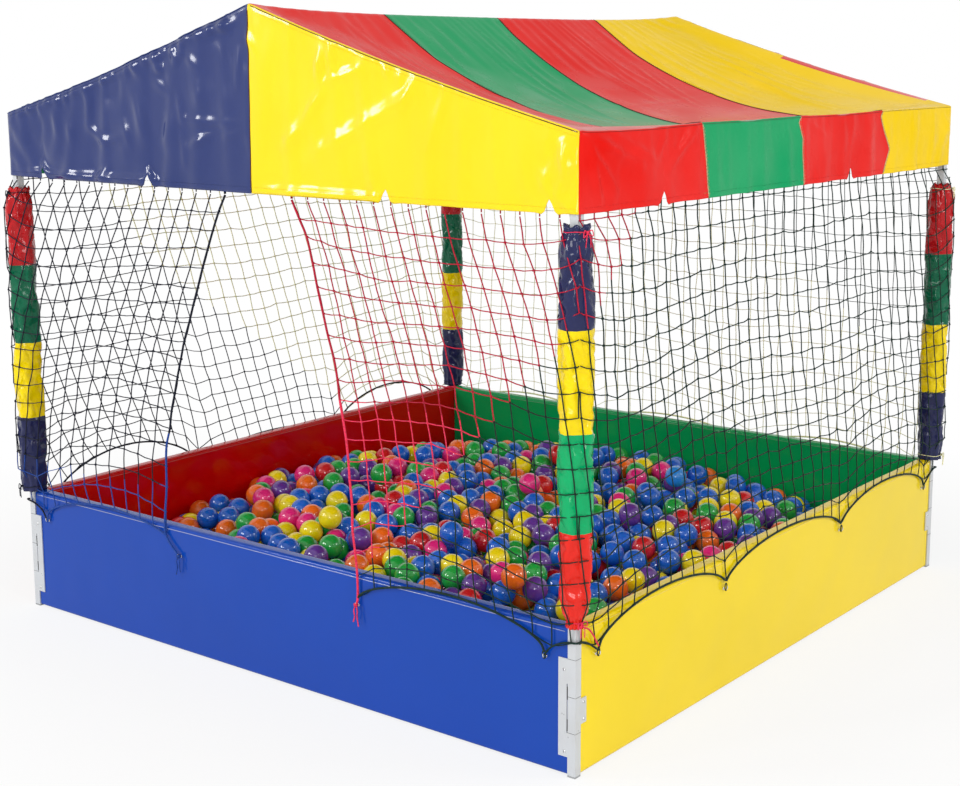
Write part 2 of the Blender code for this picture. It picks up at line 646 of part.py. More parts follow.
def flap(side, sign, finish_name):
    """Half of the front net, free along its slanting edge. It swings about its top cord."""
    rows = (NET_HINGE, SLEEVE_ROW, *MIDDLE_ROWS, WALL_ROW, HOOK_HEIGHT)
    top_x = FLAP_TOP_SHARES[side] * HALF
    foot_x = FLAP_FOOT_SHARES[side] * HALF

    def place(column, row):
        fallen = (NET_HINGE - row) / (NET_HINGE - HOOK_HEIGHT)
        edge = top_x + (foot_x - top_x) * (1 - (1 - fallen) ** FLAP_POWERS[side])
        start = sign * net_reach(row)
        along = start + (edge - start) * column
        height = hem_height(along) if row == HOOK_HEIGHT else row
        return (along, -NET_PLANE - net_bulge(NET_EDGE - abs(along), height), height)

    made = net(f"net_flap_{side}", rows, FLAP_COLUMN_SHARES, place, finish_name)
    hinge = Vector((0, -NET_PLANE, NET_HINGE))
    made.data.transform(Matrix.Translation(-hinge))
    made.location = hinge


def floor_mat():
    reach = WALL_IN - MAT_INSET
    new_object("floor_mat", box_shape((-reach, -reach, 0), (reach, reach, MAT)), ["mat_grey"])


def heap_top(x, y):
    """Height of the upper side of the balls: a heap in the middle that falls to the corners."""
    out = (hypot(x, y) / HALF - HEAP_START_SHARE) / (HEAP_END_SHARE - HEAP_START_SHARE)
    out = min(max(out, 0), 1)
    return HEAP_PEAK - (HEAP_PEAK - HEAP_EDGE) * out * out * (3 - 2 * out)


def thrown_balls():
    """Places of the balls before they settle, thrown into the top of the heap."""
    chance = np.random.default_rng(HEAP_SEED)
    radius = BALL / 2
    side = WALL_IN - radius - SIDE_GAP
    count = floor(PACKING_SHARE * (2 * side) ** 2 * HEAP_DEPTH / (4 / 3 * pi * radius**3))
    places = []
    while len(places) < count:
        x, y = chance.uniform(-side, side, 2)
        top = heap_top(x, y) - radius
        low = max(top - HEAP_DEPTH + radius, MAT + radius)
        if chance.uniform(0, HEAP_DEPTH - radius) < top - low + 2 * BALL_PROUD:
            places.append((x, y, chance.uniform(low, top)))
    return places


def close_pairs(places, reach):
    """Numbers of the balls that lie nearer to each other than this."""
    pairs = []
    for n, place in enumerate(places):
        apart = np.linalg.norm(places[n + 1 :] - place, axis=1)
        pairs += [(n, n + 1 + m) for m in np.flatnonzero(apart < reach)]
    return np.array(pairs).T


def settled_balls():
    """Places of the balls, pushed apart until they lie in a heap round the loose ones."""
    thrown = thrown_balls()
    radius = BALL / 2
    side = WALL_IN - radius - SIDE_GAP
    loose = []
    for _, x_share, y_share in LOOSE_BALLS:
        x, y = x_share * HALF, y_share * HALF
        loose.append((x, y, heap_top(x, y) + LOOSE_RISE))
    places = np.array(thrown + loose)
    free = np.arange(len(places)) < len(thrown)
    for step in range(SETTLE_STEPS):
        if step % PAIR_STEPS == 0:
            first, second = close_pairs(places, BALL * PAIR_REACH_SHARE)
        apart = places[second] - places[first]
        far = np.linalg.norm(apart, axis=1)
        push = (np.maximum(BALL - far, 0) / far)[:, None] * apart * PUSH_SHARES
        shift = np.zeros_like(places)
        np.add.at(shift, first, -push)
        np.add.at(shift, second, push)
        places[free] += shift[free]
        tops = np.array([heap_top(x, y) for x, y, _ in places]) - radius + BALL_PROUD
        places[free, 2] = np.minimum(places[free, 2], tops[free])
        places[free, :2] = np.clip(places[free, :2], -side, side)
        places[free, 2] = np.maximum(places[free, 2], MAT + radius)
    return places[~free], places[free]


def shown_balls():
    """Places of the loose balls, and of the packed ones that no higher ball hides."""
    loose, packed = settled_balls()
    shown = loose
    for place in sorted(packed.tolist(), key=lambda p: -p[2]):
        if np.hypot(*(shown[:, :2] - place[:2]).T).min() > COVERED_SHARE * BALL:
            shown = np.vstack([shown, place])
    return loose, shown[len(loose) :]


def crown(number, place):
    """Corners of the flat on a ball's crown."""
    x, y, z = place
    level = max(z + BALL / 2 - CROWN_DROP, heap_top(x, y) - DEEPEST)
    corners = []
    for side in range(CROWN_SIDES):
        turn = CROWN_TURN * number + 2 * pi * side / CROWN_SIDES
        corners.append((x + CROWN_RADIUS * cos(turn), y + CROWN_RADIUS * sin(turn), level))
    return corners


def rim_points(reach):
    """Places along the walls."""
    count = floor(2 * reach / BALL / RIM_SPACING_SHARE)
    steps = [-reach + 2 * reach * n / count for n in range(count)]
    sides = [(s, -reach) for s in steps] + [(reach, s) for s in steps]
    sides += [(-s, reach) for s in steps] + [(-reach, -s) for s in steps]
    return [(x, y, heap_top(x, y) - DIMPLE) for x, y in sides]


def triangles(points):
    """Triangles between points in plan, as numbers of the points."""
    flat = [Vector(p[:2]) for p in points]
    _, _, faces, origins, _, _ = delaunay_2d_cdt(flat, [], [], 0, GAP / BALL * GAP)
    return [[origins[n][0] for n in face] for face in faces]


def middle_between(a, b, c):
    """The place in plan that is equally far from three others."""
    side_b, side_c = b[:2] - a[:2], c[:2] - a[:2]
    double = 2 * (side_b[0] * side_c[1] - side_b[1] * side_c[0])
    x = (side_c[1] * (side_b @ side_b) - side_b[1] * (side_c @ side_c)) / double
    y = (side_b[0] * (side_c @ side_c) - side_c[0] * (side_b @ side_b)) / double
    return a[0] + x, a[1] + y


def dimples(sites, tops, reach):
    """Places between the balls, deepest in the middle of each three."""
    found = np.empty((0, 3))
    for corners in triangles(sites):
        x, y = middle_between(*sites[corners])
        level = [tops[n] for n in corners if n < len(tops)]
        if not level or max(abs(x), abs(y)) > reach - BALL / 4:
            continue
        near = np.hypot(*(found[:, :2] - (x, y)).T)
        if len(near) == 0 or near.min() > DIMPLE_SPACING_SHARE * BALL:
            z = max(sum(level) / len(level) - DIMPLE, heap_top(x, y) - DEEPEST)
            found = np.vstack([found, (x, y, z)])
    return found


def heap_surface():
    """Upper side of the crust: a crown on each ball that shows, and dimples between them."""
    reach = WALL_IN - GAP
    loose, shown = shown_balls()
    rim = rim_points(reach)
    tops = [heap_top(x, y) for x, y, _ in loose] + [z + BALL / 2 for _, _, z in shown]
    hollows = dimples(np.vstack([loose, shown, rim]), tops, reach)
    seats = loose - (0, 0, BALL / 2)
    crowns = [corner for n, place in enumerate(shown) for corner in crown(n, place)]
    points = np.vstack([seats, crowns, hollows, rim])
    return points, triangles(points)


def close_below(shape, level):
    """Drops a skirt from the rim of an open surface to a level, and closes it there."""
    rim = [e for e in shape.edges if e.is_boundary]
    skirt = bmesh.ops.extrude_edge_only(shape, edges=rim)["geom"]
    for v in skirt:
        if isinstance(v, bmesh.types.BMVert):
            v.co.z = level
    foot = [e for e in skirt if isinstance(e, bmesh.types.BMEdge) and e.is_boundary]
    bmesh.ops.contextual_create(shape, geom=foot)
    bmesh.ops.recalc_face_normals(shape, faces=shape.faces[:])


def bed_hollow():
    """The space under the crust of balls, which follows the heap."""
    shape = bmesh.new()
    reach = WALL_IN - GAP - HEAP_CRUST
    bmesh.ops.create_grid(shape, x_segments=HOLLOW_STEPS, y_segments=HOLLOW_STEPS, size=reach)
    for v in shape.verts:
        v.co.z = heap_top(v.co.x, v.co.y) - DEEPEST - HEAP_CRUST
    close_below(shape, MAT + GAP - OVERRUN)
    return helper("ball_bed_hollow", shape)


def ball_bed(surface):
    """The balls that fill the pit, as one crust of crowns that is hollow underneath."""
    points, faces = surface
    shape = bmesh.new()
    verts = [shape.verts.new(p) for p in points]
    for face in faces:
        shape.faces.new([verts[n] for n in face])
    close_below(shape, MAT + GAP)
    bed = new_object("ball_bed", shape, ["ball_mix"])
    boolean(bed, bed_hollow(), "DIFFERENCE")


def rest_height(heap, shape, x, y):
    """Height of a ball's middle where it first touches the heap, let down from above."""
    sides = [[v.index for v in f.verts] for f in shape.faces]
    low = heap_top(x, y) - BALL / 2
    high = HEAP_PEAK + BALL
    for _ in range(SEAT_STEPS):
        middle = (low + high) / 2
        ball = BVHTree.FromPolygons([v.co + Vector((x, y, middle)) for v in shape.verts], sides)
        if heap.overlap(ball):
            low = middle
        else:
            high = middle
    return high


def loose_balls(surface):
    """Balls that lie on the heap, each at rest on its neighbours."""
    heap = BVHTree.FromPolygons([tuple(p) for p in surface[0]], surface[1])
    for name, x_share, y_share in LOOSE_BALLS:
        x, y = x_share * HALF, y_share * HALF
        shape = bmesh.new()
        bmesh.ops.create_uvsphere(shape, u_segments=BALL_SEGMENTS, v_segments=BALL_RINGS, radius=BALL / 2)
        height = rest_height(heap, shape, x, y) + GAP
        ball = new_object(name, shape, [name])
        ball.location = (x, y, height)
        ball.data.shade_smooth()


def main():
    for side, turns in SIDES.items():
        wall_pad(side, turns, WALL_FINISHES[side])
        wall_board(side, turns)
    for corner, signs in CORNERS.items():
        long_bracket(corner, signs)
        short_bracket(corner, signs)
        foot_cap(corner, signs)
        post(corner, signs)
        corner_connector(corner, signs)
        rafter(corner, signs)
        sleeve(corner, signs)
    rails()
    apex_connector("front", -1)
    apex_connector("back", 1)
    roof_cover()
    for side, cord in (("right", "cord_green"), ("back", "cord_yellow"), ("left", "cord_navy")):
        side_net(side, cord)
    net_header()
    flap("left", -1, "cord_navy")
    flap("right", 1, "cord_red")
    floor_mat()
    surface = heap_surface()
    ball_bed(surface)
    loose_balls(surface)


main()
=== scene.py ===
# Looks of the ball pit. Metres, +Z up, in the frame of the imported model.

import random
from math import cos, floor, hypot, pi, radians, sin

import bmesh
import bpy
import numpy as np
from mathutils import Matrix, Vector
from mathutils.bvhtree import BVHTree


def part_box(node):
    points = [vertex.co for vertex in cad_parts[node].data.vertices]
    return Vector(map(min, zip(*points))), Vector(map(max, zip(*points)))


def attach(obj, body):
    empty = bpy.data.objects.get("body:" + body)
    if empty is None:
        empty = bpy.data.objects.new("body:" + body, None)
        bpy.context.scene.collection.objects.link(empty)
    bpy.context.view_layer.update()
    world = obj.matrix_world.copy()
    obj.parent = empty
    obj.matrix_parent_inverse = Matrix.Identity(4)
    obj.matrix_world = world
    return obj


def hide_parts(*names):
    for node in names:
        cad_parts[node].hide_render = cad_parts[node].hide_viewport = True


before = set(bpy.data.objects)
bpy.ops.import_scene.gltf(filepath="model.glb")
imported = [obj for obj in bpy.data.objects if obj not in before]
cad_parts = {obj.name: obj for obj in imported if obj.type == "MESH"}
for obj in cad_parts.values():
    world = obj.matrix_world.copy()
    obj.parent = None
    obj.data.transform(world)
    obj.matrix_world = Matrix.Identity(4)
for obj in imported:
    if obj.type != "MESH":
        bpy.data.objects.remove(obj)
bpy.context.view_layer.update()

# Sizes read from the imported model
PAD_LOW, PAD_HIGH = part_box("wall_pad_front")
COVER_LOW, COVER_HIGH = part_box("roof_cover")
SLEEVE_LOW, SLEEVE_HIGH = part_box("post_cover_front_right")
POST_LOW, POST_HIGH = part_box("post_front_right")
RAIL_LOW, RAIL_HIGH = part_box("eave_rail_right")

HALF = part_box("long_bracket_front_right")[1].x  # half the pit's side
WALL_LIFT, WALL_TOP = PAD_LOW.z, PAD_HIGH.z
WALL_OUT, WALL_IN = round(-PAD_LOW.y, 4), round(-PAD_HIGH.y, 4)
WALL_END = PAD_HIGH.x
COVER_HALF = COVER_HIGH.x
VALANCE_LOW, PEAK = COVER_LOW.z, COVER_HIGH.z
POST_AXIS = (POST_LOW.x + POST_HIGH.x) / 2
SLEEVE_RADIUS = (SLEEVE_HIGH.x - SLEEVE_LOW.x) / 2
SLEEVE_FOOT, SLEEVE_TOP = SLEEVE_LOW.z, SLEEVE_HIGH.z
EAVE_RAIL_AXIS = (RAIL_LOW.z + RAIL_HIGH.z) / 2
GABLE_RAIL_AXIS = sum(corner.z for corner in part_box("gable_rail_front")) / 2
TUBE = RAIL_HIGH.z - RAIL_LOW.z

# The roof cover's form, as the solid has it
EAVE = 1.481
RIDGE_DIP = 0.018
SLOPE_SAG = 0.126
GABLE_SAG = 0.012
SAG_POWER = 2.3
PEAK_POWER = 4
CLOTH = 0.0012
VENT_HALF = 0.013
VENT_HEIGHT = 0.035
GABLE_VENTS = (-0.84, -0.39, 0.45, 0.93)
VALANCE_VENTS = (-0.67, 0.31)

# The nets
CORD = 0.0032
ROPE = 0.0058
CELL = 0.0545
KNOT = 0.0036
NET_PLANE = 1.0018
NET_EDGE = 1.0335
NET_HINGE = 1.286
HEADER_LOW = 1.2899
SLEEVE_ROW = 1.225
WALL_ROW = 0.425
HOOK_HEIGHT = 0.290
SCALLOPS = (0.078, 0.078, 0.078)
LEFT_SCALLOPS = (0.130, 0.066, 0.136)
CORNER_LIFT = 0.034
LEANS = {"right": 0.18, "back": 0, "left": -0.29}
CORNER_RISE = 0.038
DROOP = 0.0022  # most of a strand's sag between two knots
STRAYS = ((0.010, 0.0035), (0.022, 0.0040), (0.012, 0.002))  # along, up and out: wide and fine
FREE_ABOVE = 0.36  # a net is free to stray above this height
FREE_FADE, FREE_END = 0.12, 0.15  # and this far from its fixed upper and lower edges, and its ends
LIFTED_ABOVE, LIFTED_FADE, LIFTED_REACH = 0.7, 0.06, 0.09  # where its corners are drawn up
ARCH_REACH = 0.35  # a flap's rows arch up over this distance from the corner
FLAP_ARCHES = {"left": 0.050, "right": 0.012}  # and this high
LACED, LACING_SQUARE, LACING_STEPS = 0.92, 1.45, 12  # half its length, squareness, points to a turn
BACK_CORD = 0.0024
FLAP_ROPE = 0.0062
ROPE_PROUD = 0.002  # the ropes lie this far outside their net
TIE_ROPE, TAIL_ROPE, BOW_ROPE = 0.0048, 0.0034, 0.0024
LACING_CORD = 0.0012
HOOKS = (-0.915, -0.332, 0.332, 0.915)
BULGE_START = 0.080
BULGE_END = 0.500
CORNER_GAP = 0.003
CORNER_REACH = 0.0175  # a net's corner stays this far from the axis of a bare post
LACING = 0.0127  # half width of the lacing round a rail
FLAP_TOPS = {"left": -0.105, "right": 0.135}
FLAP_FEET = {"left": -0.385, "right": 0.335}
FLAP_POWERS = {"left": 1.8, "right": 2.2}

# The heap of balls, packed as in the solids
BALL = 0.070
HEAP_PEAK = 0.280
HEAP_EDGE = 0.100
HEAP_START = 0.70
HEAP_SPAN = 0.65
HEAP_DEPTH = 0.150
HEAP_SEED = 11
PACKING_SHARE = 0.56
BALL_PROUD = 0.010
SIDE_GAP = 0.001
LOOSE_RISE = 0.015
LOOSE_STEPS = 8  # faces along a cube's edge, pushed out to a ball
TOP_STEPS, LOW_STEPS, TOP_LAYER = 6, 4, 0.055  # balls deeper than this in the heap have fewer faces
COLOUR_SEED = 5
MAT = 0.012
SETTLE_STEPS = 160
PAIR_STEPS = 8
PAIR_REACH_SHARE = 1.3
PUSH_SHARES = (0.35, 0.35, 0.315)
LOOSE_ORDER = (
    "ball_orange", "ball_blue", "ball_yellow", "ball_green", "ball_pink", "ball_purple", "ball_red",
    "ball_light_blue",
)
BALL_SHARES = {
    "blue": 0.27, "yellow": 0.16, "green": 0.15, "orange": 0.12, "pink": 0.10, "purple": 0.14, "red": 0.06
}

# Colours, linear
VINYLS = {
    "blue": (0.003, 0.056, 0.395),
    "yellow": (0.950, 0.710, 0.000),
    "green": (0.001, 0.400, 0.130),
    "red": (0.800, 0.020, 0.010),
    "navy": (0.018, 0.022, 0.085),
    "deep_green": (0.001, 0.130, 0.060),
    "deep_red": (0.500, 0.008, 0.012),
    "wall_green": (0.001, 0.360, 0.095),
    "wall_red": (0.620, 0.001, 0.001),
}
ROOF_VINYLS = {
    "red": (0.800, 0.010, 0.006),
    "green": (0.001, 0.350, 0.120),
    "yellow": (0.950, 0.640, 0.001),
    "navy": (0.022, 0.040, 0.165),
    "gable_navy": (0.018, 0.034, 0.150),
    "gable_yellow": (0.950, 0.700, 0.000),
    "gable_green": (0.001, 0.350, 0.120),
    "gable_red": (0.700, 0.010, 0.006),
}
SLOPE_LOOK, HUNG_LOOK = (0.045, 0.24, 0.02), (0.01, 0.15, 0.26)  # haze, gloss, shine
PIPING_HIGHLIGHT_FRONT, PIPING_HIGHLIGHT_OTHERS = 0.30, 0.08  # share of white in the front wall's welt colour, and in the others': a painted highlight
DUST_AND_SHEEN = {"red": 0.34, "green": 0.40, "yellow": 0.06, "navy": 0.20}  # share of dirt and painted reflection low on each slope, where it faces up
CORDS = {
    "navy": (0.002, 0.004, 0.014),
    "green": (0.001, 0.018, 0.012),
    "maroon": (0.420, 0.006, 0.030),
    "red": (0.780, 0.030, 0.085),
    "yellow": (0.940, 0.880, 0.460),
    "blue": (0.010, 0.050, 0.260),
    "seam_dark": (0.060, 0.012, 0.010),
    "seam_pale": (0.480, 0.350, 0.200),
}
BALLS = {
    "blue": (0.004, 0.120, 0.620),
    "yellow": (0.980, 0.760, 0.002),
    "green": (0.008, 0.380, 0.050),
    "orange": (0.950, 0.155, 0.006),
    "pink": (0.830, 0.018, 0.220),
    "purple": (0.125, 0.034, 0.310),
    "red": (0.620, 0.008, 0.014),
    "light_blue": (0.015, 0.250, 0.760),
}

# Which colour goes where; bands run from the foot of a post cover upward
WALL_VINYLS = {"front": "blue", "right": "yellow", "back": "wall_green", "left": "wall_red"}
RIGHT_STRIPES = ("red", "green", "red", "yellow")
LEFT_STRIPES = ("green", "red", "green", "navy")
GABLES = {"front": ("gable_navy", "gable_yellow"), "back": ("gable_green", "gable_red")}
BANDS = dict.fromkeys(("front_left", "back_right", "back_left"), ("navy", "yellow", "deep_green", "deep_red"))
BANDS["front_right"] = ("red", "green", "yellow", "navy")
ROOF_FINISHES = list(ROOF_VINYLS)

# Folds, sags and seams of the roof cover
SLOPE_FOLDS = 62
FOLD_LEAST = 0.0095  # narrower folds than this fall between the points of the cover
TALL_FOLD, TALL_LEAST = 0.0045, 1.3 * FOLD_LEAST  # and higher ones than this are wider still
CREASE_LOW, CREASE_HIGH = -0.0005, 0.014
BILLOW_LIFT = 0.0020
BILLOWS = ((0.0045, 71, 9, 1.5, 4.5, 1.4), (0.0016, 72, 12, 6, 12, 1))  # height, seed, count, rates, stretch
EAVE_DIPS = ((-1.0, -0.50, 0.005), (-0.50, 0.0, 0.002), (0.0, 0.50, 0.003))  # from, to, depth
VALANCE_SEAMS = (  # place of a seam, then heights with how far it strays there
    (-0.503, ((1.481, 0), (1.466, 0.004), (1.300, 0.035))),
    (0.0, ((1.481, 0), (1.466, -0.014), (1.421, 0.010), (1.300, 0.025))),
    (0.503, ((1.481, 0), (1.466, -0.014), (1.369, 0.046), (1.300, 0.012))),
)
BACK_LAP = 0.030  # the back gable laps this far over the slopes
STITCH_STEP = 0.008
HEM = 0.012  # height of the stitched hem above the lower edge
WELT_LIFT, STITCH_LIFT = 0.0006, 0.0004  # how far seams and threads stand out of the cloth
DARK, PALE = 0, 1  # numbers of the seams' finishes, then those of the threads
THREADS = {"red": 2, "green": 3, "yellow": 4, "navy": 5}

# Corners, sides and cords
TURNS = {"front": 0, "right": 1, "back": 2, "left": 3}  # quarter turns from the front
CORNERS = {"front_left": (-1, -1), "front_right": (1, -1), "back_left": (-1, 1), "back_right": (1, 1)}
SLOTS = {"right": "cord_green", "back": "cord_yellow", "left": "cord_navy"}
# Where a net's colour changes: height of the seam at a place along the side, slope, and that place
BACK_SEAM = (1.383, 0.868, 0)
LEFT_SEAMS = ((0.653, 0.70, 0), (0.25, 1.5, 0))
RIGHT_SEAM = (1.06, 1.03, -HALF)
FLAP_SEAM = (0.357, 1.03, 0.332)
LEFT_FLAP_SEAM, LEFT_RIM_SEAM, RIGHT_RIM_SEAM = 0.47, 0.62, 0.80

# Camera, at the photograph's angle
CAMERA_PLACE = (3.017, -3.882, 1.641)
CAMERA_YAW = 37.75
CAMERA_PITCH = 9.94
CAMERA_ROLL = -0.15
CAMERA_LENS = 61.125
CAMERA_SHIFT = (-0.0208, -0.0552)

# The floor's fade to plain white
FLOOR_NEAR = 1.5  # distance from the middle where the floor starts to fade
FLOOR_FAR = 2.6
FLOOR_LIFT = 0.80  # share of plain white in the floor under the object


def make_camera():
    data = bpy.data.cameras.new("camera")
    data.sensor_width = 36
    data.lens = CAMERA_LENS
    data.shift_x, data.shift_y = CAMERA_SHIFT
    camera = bpy.data.objects.new("camera", data)
    turn = Matrix.Rotation(radians(CAMERA_YAW), 4, "Z")
    tilt = Matrix.Rotation(radians(90 - CAMERA_PITCH), 4, "X")
    roll = Matrix.Rotation(radians(CAMERA_ROLL), 4, "Z")
    camera.matrix_world = Matrix.Translation(CAMERA_PLACE) @ turn @ tilt @ roll
    bpy.context.scene.collection.objects.link(camera)
    bpy.context.scene.camera = camera


# Materials

WOOD_GRAIN = (14, 6, (0.6, 0.6, 22))  # scale, detail and stretch of the noise


class Finish:
    """A Principled material with short ways to add nodes."""

    def __init__(self, name, roughness, metallic=0.0):
        self.material = bpy.data.materials.new(name)
        self.material.use_nodes = True
        self.tree = self.material.node_tree
        self.shader = self.tree.nodes["Principled BSDF"]
        self.shader.inputs["Roughness"].default_value = roughness
        self.shader.inputs["Metallic"].default_value = metallic
        self.place = self.node("ShaderNodeTexCoord").outputs["Object"]

    def node(self, kind, **settings):
        made = self.tree.nodes.new(kind)
        for key, value in settings.items():
            setattr(made, key, value)
        return made

    def link(self, source, target):
        self.tree.links.new(source, target)

    def stretched(self, scale):
        """The surface's places, scaled by axis."""
        mapping = self.node("ShaderNodeMapping")
        mapping.inputs["Scale"].default_value = scale
        self.link(self.place, mapping.inputs["Vector"])
        return mapping.outputs["Vector"]

    def noise(self, scale, detail=3, stretch=None):
        made = self.node("ShaderNodeTexNoise")
        made.inputs["Scale"].default_value = scale
        made.inputs["Detail"].default_value = detail
        self.link(self.stretched(stretch) if stretch else self.place, made.inputs["Vector"])
        return made.outputs["Fac"]

    def spread(self, source, low, high, start=0.3, end=0.7):
        """A field remapped to run from low to high."""
        made = self.node("ShaderNodeMapRange")
        made.inputs["From Min"].default_value = start
        made.inputs["From Max"].default_value = end
        made.inputs["To Min"].default_value = low
        made.inputs["To Max"].default_value = high
        self.link(source, made.inputs["Value"])
        return made.outputs["Result"]

    def mixed(self, source, first, second):
        """Two colours, or sockets, mixed by a field."""
        made = self.node("ShaderNodeMix", data_type="RGBA")
        self.link(source, made.inputs["Factor"])
        for key, value in (("A", first), ("B", second)):
            socket = [s for s in made.inputs if s.name == key and s.type == "RGBA"][0]
            if isinstance(value, tuple):
                socket.default_value = (*value, 1)
            else:
                self.link(value, socket)
        return [s for s in made.outputs if s.type == "RGBA"][0]

    def bumps(self, *layers):
        """Bump from (field, strength, height) layers, chained."""
        last = None
        for source, strength, height in layers:
            bump = self.node("ShaderNodeBump")
            bump.inputs["Strength"].default_value = strength
            bump.inputs["Distance"].default_value = height
            self.link(source, bump.inputs["Height"])
            if last:
                self.link(last, bump.inputs["Normal"])
            last = bump.outputs["Normal"]
        self.link(last, self.shader.inputs["Normal"])

    def set(self, **values):
        for key, value in values.items():
            socket = self.shader.inputs[key.replace("_", " ")]
            if isinstance(value, bpy.types.NodeSocket):
                self.link(value, socket)
            else:
                socket.default_value = value


def shade(colour, factor):
    return tuple(min(c * factor, 1) for c in colour)


def toward(colour, other, share):
    return tuple(a + (b - a) * share for a, b in zip(colour, other))


def vinyl(name, colour, haze=0.0, gloss=0.15, shine=0.20, dust_and_sheen=0.0):
    """Glossy coated fabric: soft waves, fine grain, a little fading, and a paler tone low on a slope where it
    faces up, partly dirt and partly a painted reflection of the white surround.
    """
    made = Finish(name, gloss)
    cloudy = made.noise(9.0, 5)
    faded = toward(colour, (0.80, 0.76, 0.74), haze)
    body = made.mixed(made.spread(made.noise(2.6, 4), 0, 1), shade(colour, 0.93), faded)
    # Painted reflection and dirt: paler toward the eave, on faces that look up
    if dust_and_sheen:
        split = made.node("ShaderNodeSeparateXYZ")
        made.link(made.place, split.inputs[0])
        away = made.node("ShaderNodeMath", operation="ABSOLUTE")
        made.link(split.outputs["X"], away.inputs[0])
        facing = made.node("ShaderNodeSeparateXYZ")
        made.link(made.node("ShaderNodeNewGeometry").outputs["Normal"], facing.inputs[0])
        both = made.node("ShaderNodeMath", operation="MULTIPLY")
        made.link(made.spread(away.outputs[0], 0.08, 1, 0.35, 0.95), both.inputs[0])
        made.link(made.spread(facing.outputs["Z"], 0, dust_and_sheen, 0.6, 0.9), both.inputs[1])
        body = made.mixed(both.outputs[0], body, (0.62, 0.58, 0.56))
    made.set(Base_Color=body)
    made.set(Roughness=made.spread(cloudy, gloss * 0.7, gloss * 1.5 + haze))
    made.set(Specular_IOR_Level=shine, Coat_Weight=shine / 2, Coat_Roughness=0.05)
    weave = made.node("ShaderNodeTexVoronoi", feature="SMOOTH_F1")
    weave.inputs["Scale"].default_value = 420
    made.link(made.place, weave.inputs["Vector"])
    grain = (weave.outputs["Distance"], 0.06, 0.0003)
    made.bumps((cloudy, 0.12, 0.004), (made.noise(38, 4), 0.06, 0.0010), grain)
    return made.material


def cord_finish(name, colour):
    """Twisted plastic cord."""
    made = Finish(name, 0.62)
    fine = made.noise(260, 3)
    made.set(Base_Color=made.mixed(made.spread(fine, 0, 1), shade(colour, 0.7), shade(colour, 1.35)))
    made.set(Roughness=made.spread(made.noise(90, 2), 0.5, 0.8), Specular_IOR_Level=0.25)
    made.bumps((fine, 0.5, 0.0005))
    return made.material


def painted_steel():
    made = Finish("paint_grey", 0.35, 0.25)
    wear = made.noise(70, 6)
    worn = made.spread(wear, 0, 0.7, 0.70, 0.80)
    brushed = made.mixed(worn, (0.60, 0.62, 0.64), (0.42, 0.42, 0.43))
    dirt = made.spread(made.noise(12, 5), 0, 0.35, 0.45, 0.75)
    made.set(Base_Color=made.mixed(dirt, brushed, (0.50, 0.50, 0.49)))
    made.set(Roughness=made.spread(made.noise(45, 4), 0.26, 0.5), Coat_Weight=0.2)
    made.bumps((made.noise(240, 3), 0.12, 0.0003), (wear, 0.10, 0.0004))
    return made.material


def grained(name, roughness, first, second, clouds, grain, bump, rough=None, metallic=0.0):
    """A plain solid's finish: two colours in clouds, a changing roughness and a fine grain."""
    made = Finish(name, roughness, metallic)
    made.set(Base_Color=made.mixed(made.spread(made.noise(*clouds[:-2]), 0, 1, *clouds[-2:]), first, second))
    if rough:
        made.set(Roughness=made.spread(made.noise(*rough[:2]), *rough[2:]))
    made.bumps((made.noise(*grain), *bump))
    return made.material


def solid_finishes():
    """Finishes of the metal, plastic, wood and foam: colours, clouds, grain, bump and roughness."""
    plain, soft = (0, 1), (0.3, 0.7)  # where the clouds start and end
    return {
        "steel": grained(
            "bright_metal", 0.22, (0.62, 0.62, 0.63), (0.80, 0.80, 0.81),
            (300, 3, *plain), (700, 2), (0.15, 0.0002), (500, 2, 0.16, 0.34), 1.0,
        ),
        # Near black: painted shade in the screws' slots, the knuckles' gaps and the slits
        "painted_shade": grained(
            "slot_painted_shade", 0.7, (0.010, 0.010, 0.012), (0.03, 0.03, 0.032),
            (400, 2, *plain), (500, 2), (0.2, 0.0003),
        ),
        "paint": painted_steel(),
        "plastic": grained(
            "cap_grey", 0.5, (0.30, 0.31, 0.32), (0.40, 0.41, 0.42),
            (60, 4, *soft), (900, 2), (0.2, 0.0002), (90, 3, 0.4, 0.65),
        ),
        "wood": grained(
            "board_wood", 0.75, (0.42, 0.27, 0.13), (0.66, 0.49, 0.28),
            (*WOOD_GRAIN, *soft), WOOD_GRAIN, (0.3, 0.0008), (60, 3, 0.65, 0.9),
        ),
        "foam": grained(
            "mat_foam", 0.75, (0.10, 0.11, 0.12), (0.17, 0.18, 0.19),
            (8, 4, *soft), (600, 2), (0.4, 0.0006), (600, 2, 0.65, 0.9),
        ),
    }


def ball_plastic(name, colour):
    """Blown plastic with a fine mould seam round its middle."""
    made = Finish(name, 0.18)
    seam = made.node("ShaderNodeAttribute", attribute_name="seam").outputs["Fac"]
    away = made.node("ShaderNodeMath", operation="ABSOLUTE")
    made.link(seam, away.inputs[0])
    line = made.spread(away.outputs[0], 1, 0, 0.010, 0.030)
    cloud = made.spread(made.noise(24, 3), 0, 1)
    body = made.mixed(cloud, shade(colour, 0.88), toward(shade(colour, 1.10), (1, 1, 1), 0.015))
    made.set(Base_Color=made.mixed(line, body, shade(colour, 0.72)))
    made.set(Roughness=made.spread(made.noise(110, 4), 0.06, 0.11))
    made.set(Specular_IOR_Level=0.35, Coat_Weight=0.45, Coat_Roughness=0.03)
    made.bumps((line, 0.35, 0.0006), (made.noise(60, 3), 0.05, 0.0010))
    return made.material


# Mesh helpers


def link(piece):
    bpy.context.scene.collection.objects.link(piece)
    return piece


